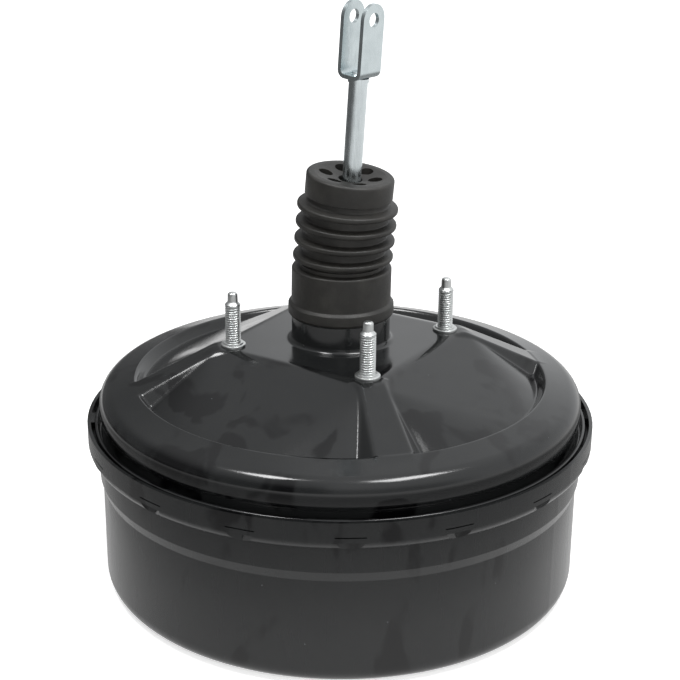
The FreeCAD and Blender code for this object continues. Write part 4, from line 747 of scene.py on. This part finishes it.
def lean_over(mesh):
    """Bend a piece of the boot toward the side that the rod leans to."""
    for vert in mesh.verts:
        height = vert.co.z / MM - LEAN_START
        if height > 0.0:
            tilt = LEAN_TILT * min(1.0, height / LEAN_RISE)
            vert.co.z -= vert.co.x * math.sin(tilt)
            vert.co.x = vert.co.x * math.cos(tilt) + LEAN_SHIFT * height * MM


sleeve = bmesh.new()
spun(sleeve, rounded_profile([
    (23.2, 144.4, 0.3), (26.4, 144.4, 0.5), (27.3, 145.6, 0.6), (27.2, 150.2, 0.9),
    (25.6, 151.6, 0.8), (25.6, 169.5, 1.2), (21.9, 170.2, 0.5), (21.9, 172.0, 0.3),
    (21.3, 172.0, 0.2), (21.3, 169.0, 0.4), (23.2, 167.6, 0.6)]), 128)
lean_over(sleeve)
finished_piece("boot_sleeve", sleeve, boot_rubber, "housing", "boot_rubber", "dust_boot")

# %% [markdown]
# The bellows is one rubber wall with four thin round ribs. Its folds are drawn as an outline
# with rounded crests and valleys, and spun. Its top is a shallow dish with six round air
# pockets, each with a small hole. A turned cutter for each pocket and one Boolean modifier
# are simpler here than cutting faces by hand. The modifier is applied before the piece bends.

# %% Dust boot: bellows
CRESTS = (175.4, 184.1, 192.8, 201.5)
corners = [(21.1, 171.0, 0.4)]
for height in CRESTS:
    corners += [(21.1, height - 2.3, 0.8), (25.6, height - 1.2, 1.1)]
    corners += [(25.6, height + 1.2, 1.1), (21.1, height + 2.3, 0.8)]
corners += [(20.6, 204.6, 0.5), (20.6, 206.8, 0.4), (22.3, 207.1, 0.4), (22.3, 218.2, 1.6)]
corners += [(18.2, 218.4, 1.8), (5.9, 215.8, 0.5), (5.9, 211.8, 0.4), (18.4, 211.8, 1.0)]
corners += [(19.0, 206.0, 0.6)]
for height in reversed(CRESTS):
    corners += [(19.6, height + 2.6, 0.5), (23.4, height + 0.5, 0.3)]
    corners += [(23.4, height - 0.5, 0.3), (19.6, height - 2.6, 0.5)]
corners += [(19.6, 171.0, 0.3)]
bellows = bmesh.new()
spun(bellows, rounded_profile(corners), 128)
blank_mesh = bpy.data.meshes.new("bellows_blank")
bellows.to_mesh(blank_mesh)
bellows.free()
print("bellows blank has", len(blank_mesh.polygons), "faces")

# %% Dust boot: air pockets
POCKET_COUNT, POCKET_CIRCLE, FIRST_POCKET = 6, 12.6, 22.0
cutters = bmesh.new()
for number in range(POCKET_COUNT):
    cutter = bmesh.new()
    spun(cutter, [Vector(spot) for spot in (
        (0.0, 208.0), (1.2, 208.0), (1.2, 214.6), (3.6, 214.6), (3.6, 222.0), (0.0, 222.0))],
        24, closed=False)
    turn = math.radians(FIRST_POCKET + 360.0 / POCKET_COUNT * number)
    bmesh.ops.translate(cutter, verts=cutter.verts,
                        vec=Vector((math.cos(turn), math.sin(turn), 0.0)) * POCKET_CIRCLE * MM)
    bmesh.ops.recalc_face_normals(cutter, faces=cutter.faces)
    part = bpy.data.meshes.new("pocket_cutter")
    cutter.to_mesh(part)
    cutter.free()
    cutters.from_mesh(part)
    bpy.data.meshes.remove(part)
cutter_mesh = bpy.data.meshes.new("pocket_cutters")
cutters.to_mesh(cutter_mesh)
cutters.free()
blank = bpy.data.objects.new("bellows_blank", blank_mesh)
tool = bpy.data.objects.new("pocket_cutters", cutter_mesh)
for item in (blank, tool):
    bpy.context.collection.objects.link(item)
pockets = blank.modifiers.new("pockets", "BOOLEAN")
pockets.object = tool
pockets.operation = "DIFFERENCE"
pockets.solver = "EXACT"
cut_mesh = bpy.data.meshes.new_from_object(
    blank.evaluated_get(bpy.context.evaluated_depsgraph_get()))
bellows = bmesh.new()
bellows.from_mesh(cut_mesh)
for item in (blank, tool):
    bpy.data.objects.remove(item)
for spare in (blank_mesh, cutter_mesh, cut_mesh):
    bpy.data.meshes.remove(spare)
lean_over(bellows)
bellows_piece = finished_piece("boot_bellows", bellows, boot_rubber, "housing",
                               "boot_rubber", "dust_boot")
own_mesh(bellows_piece)
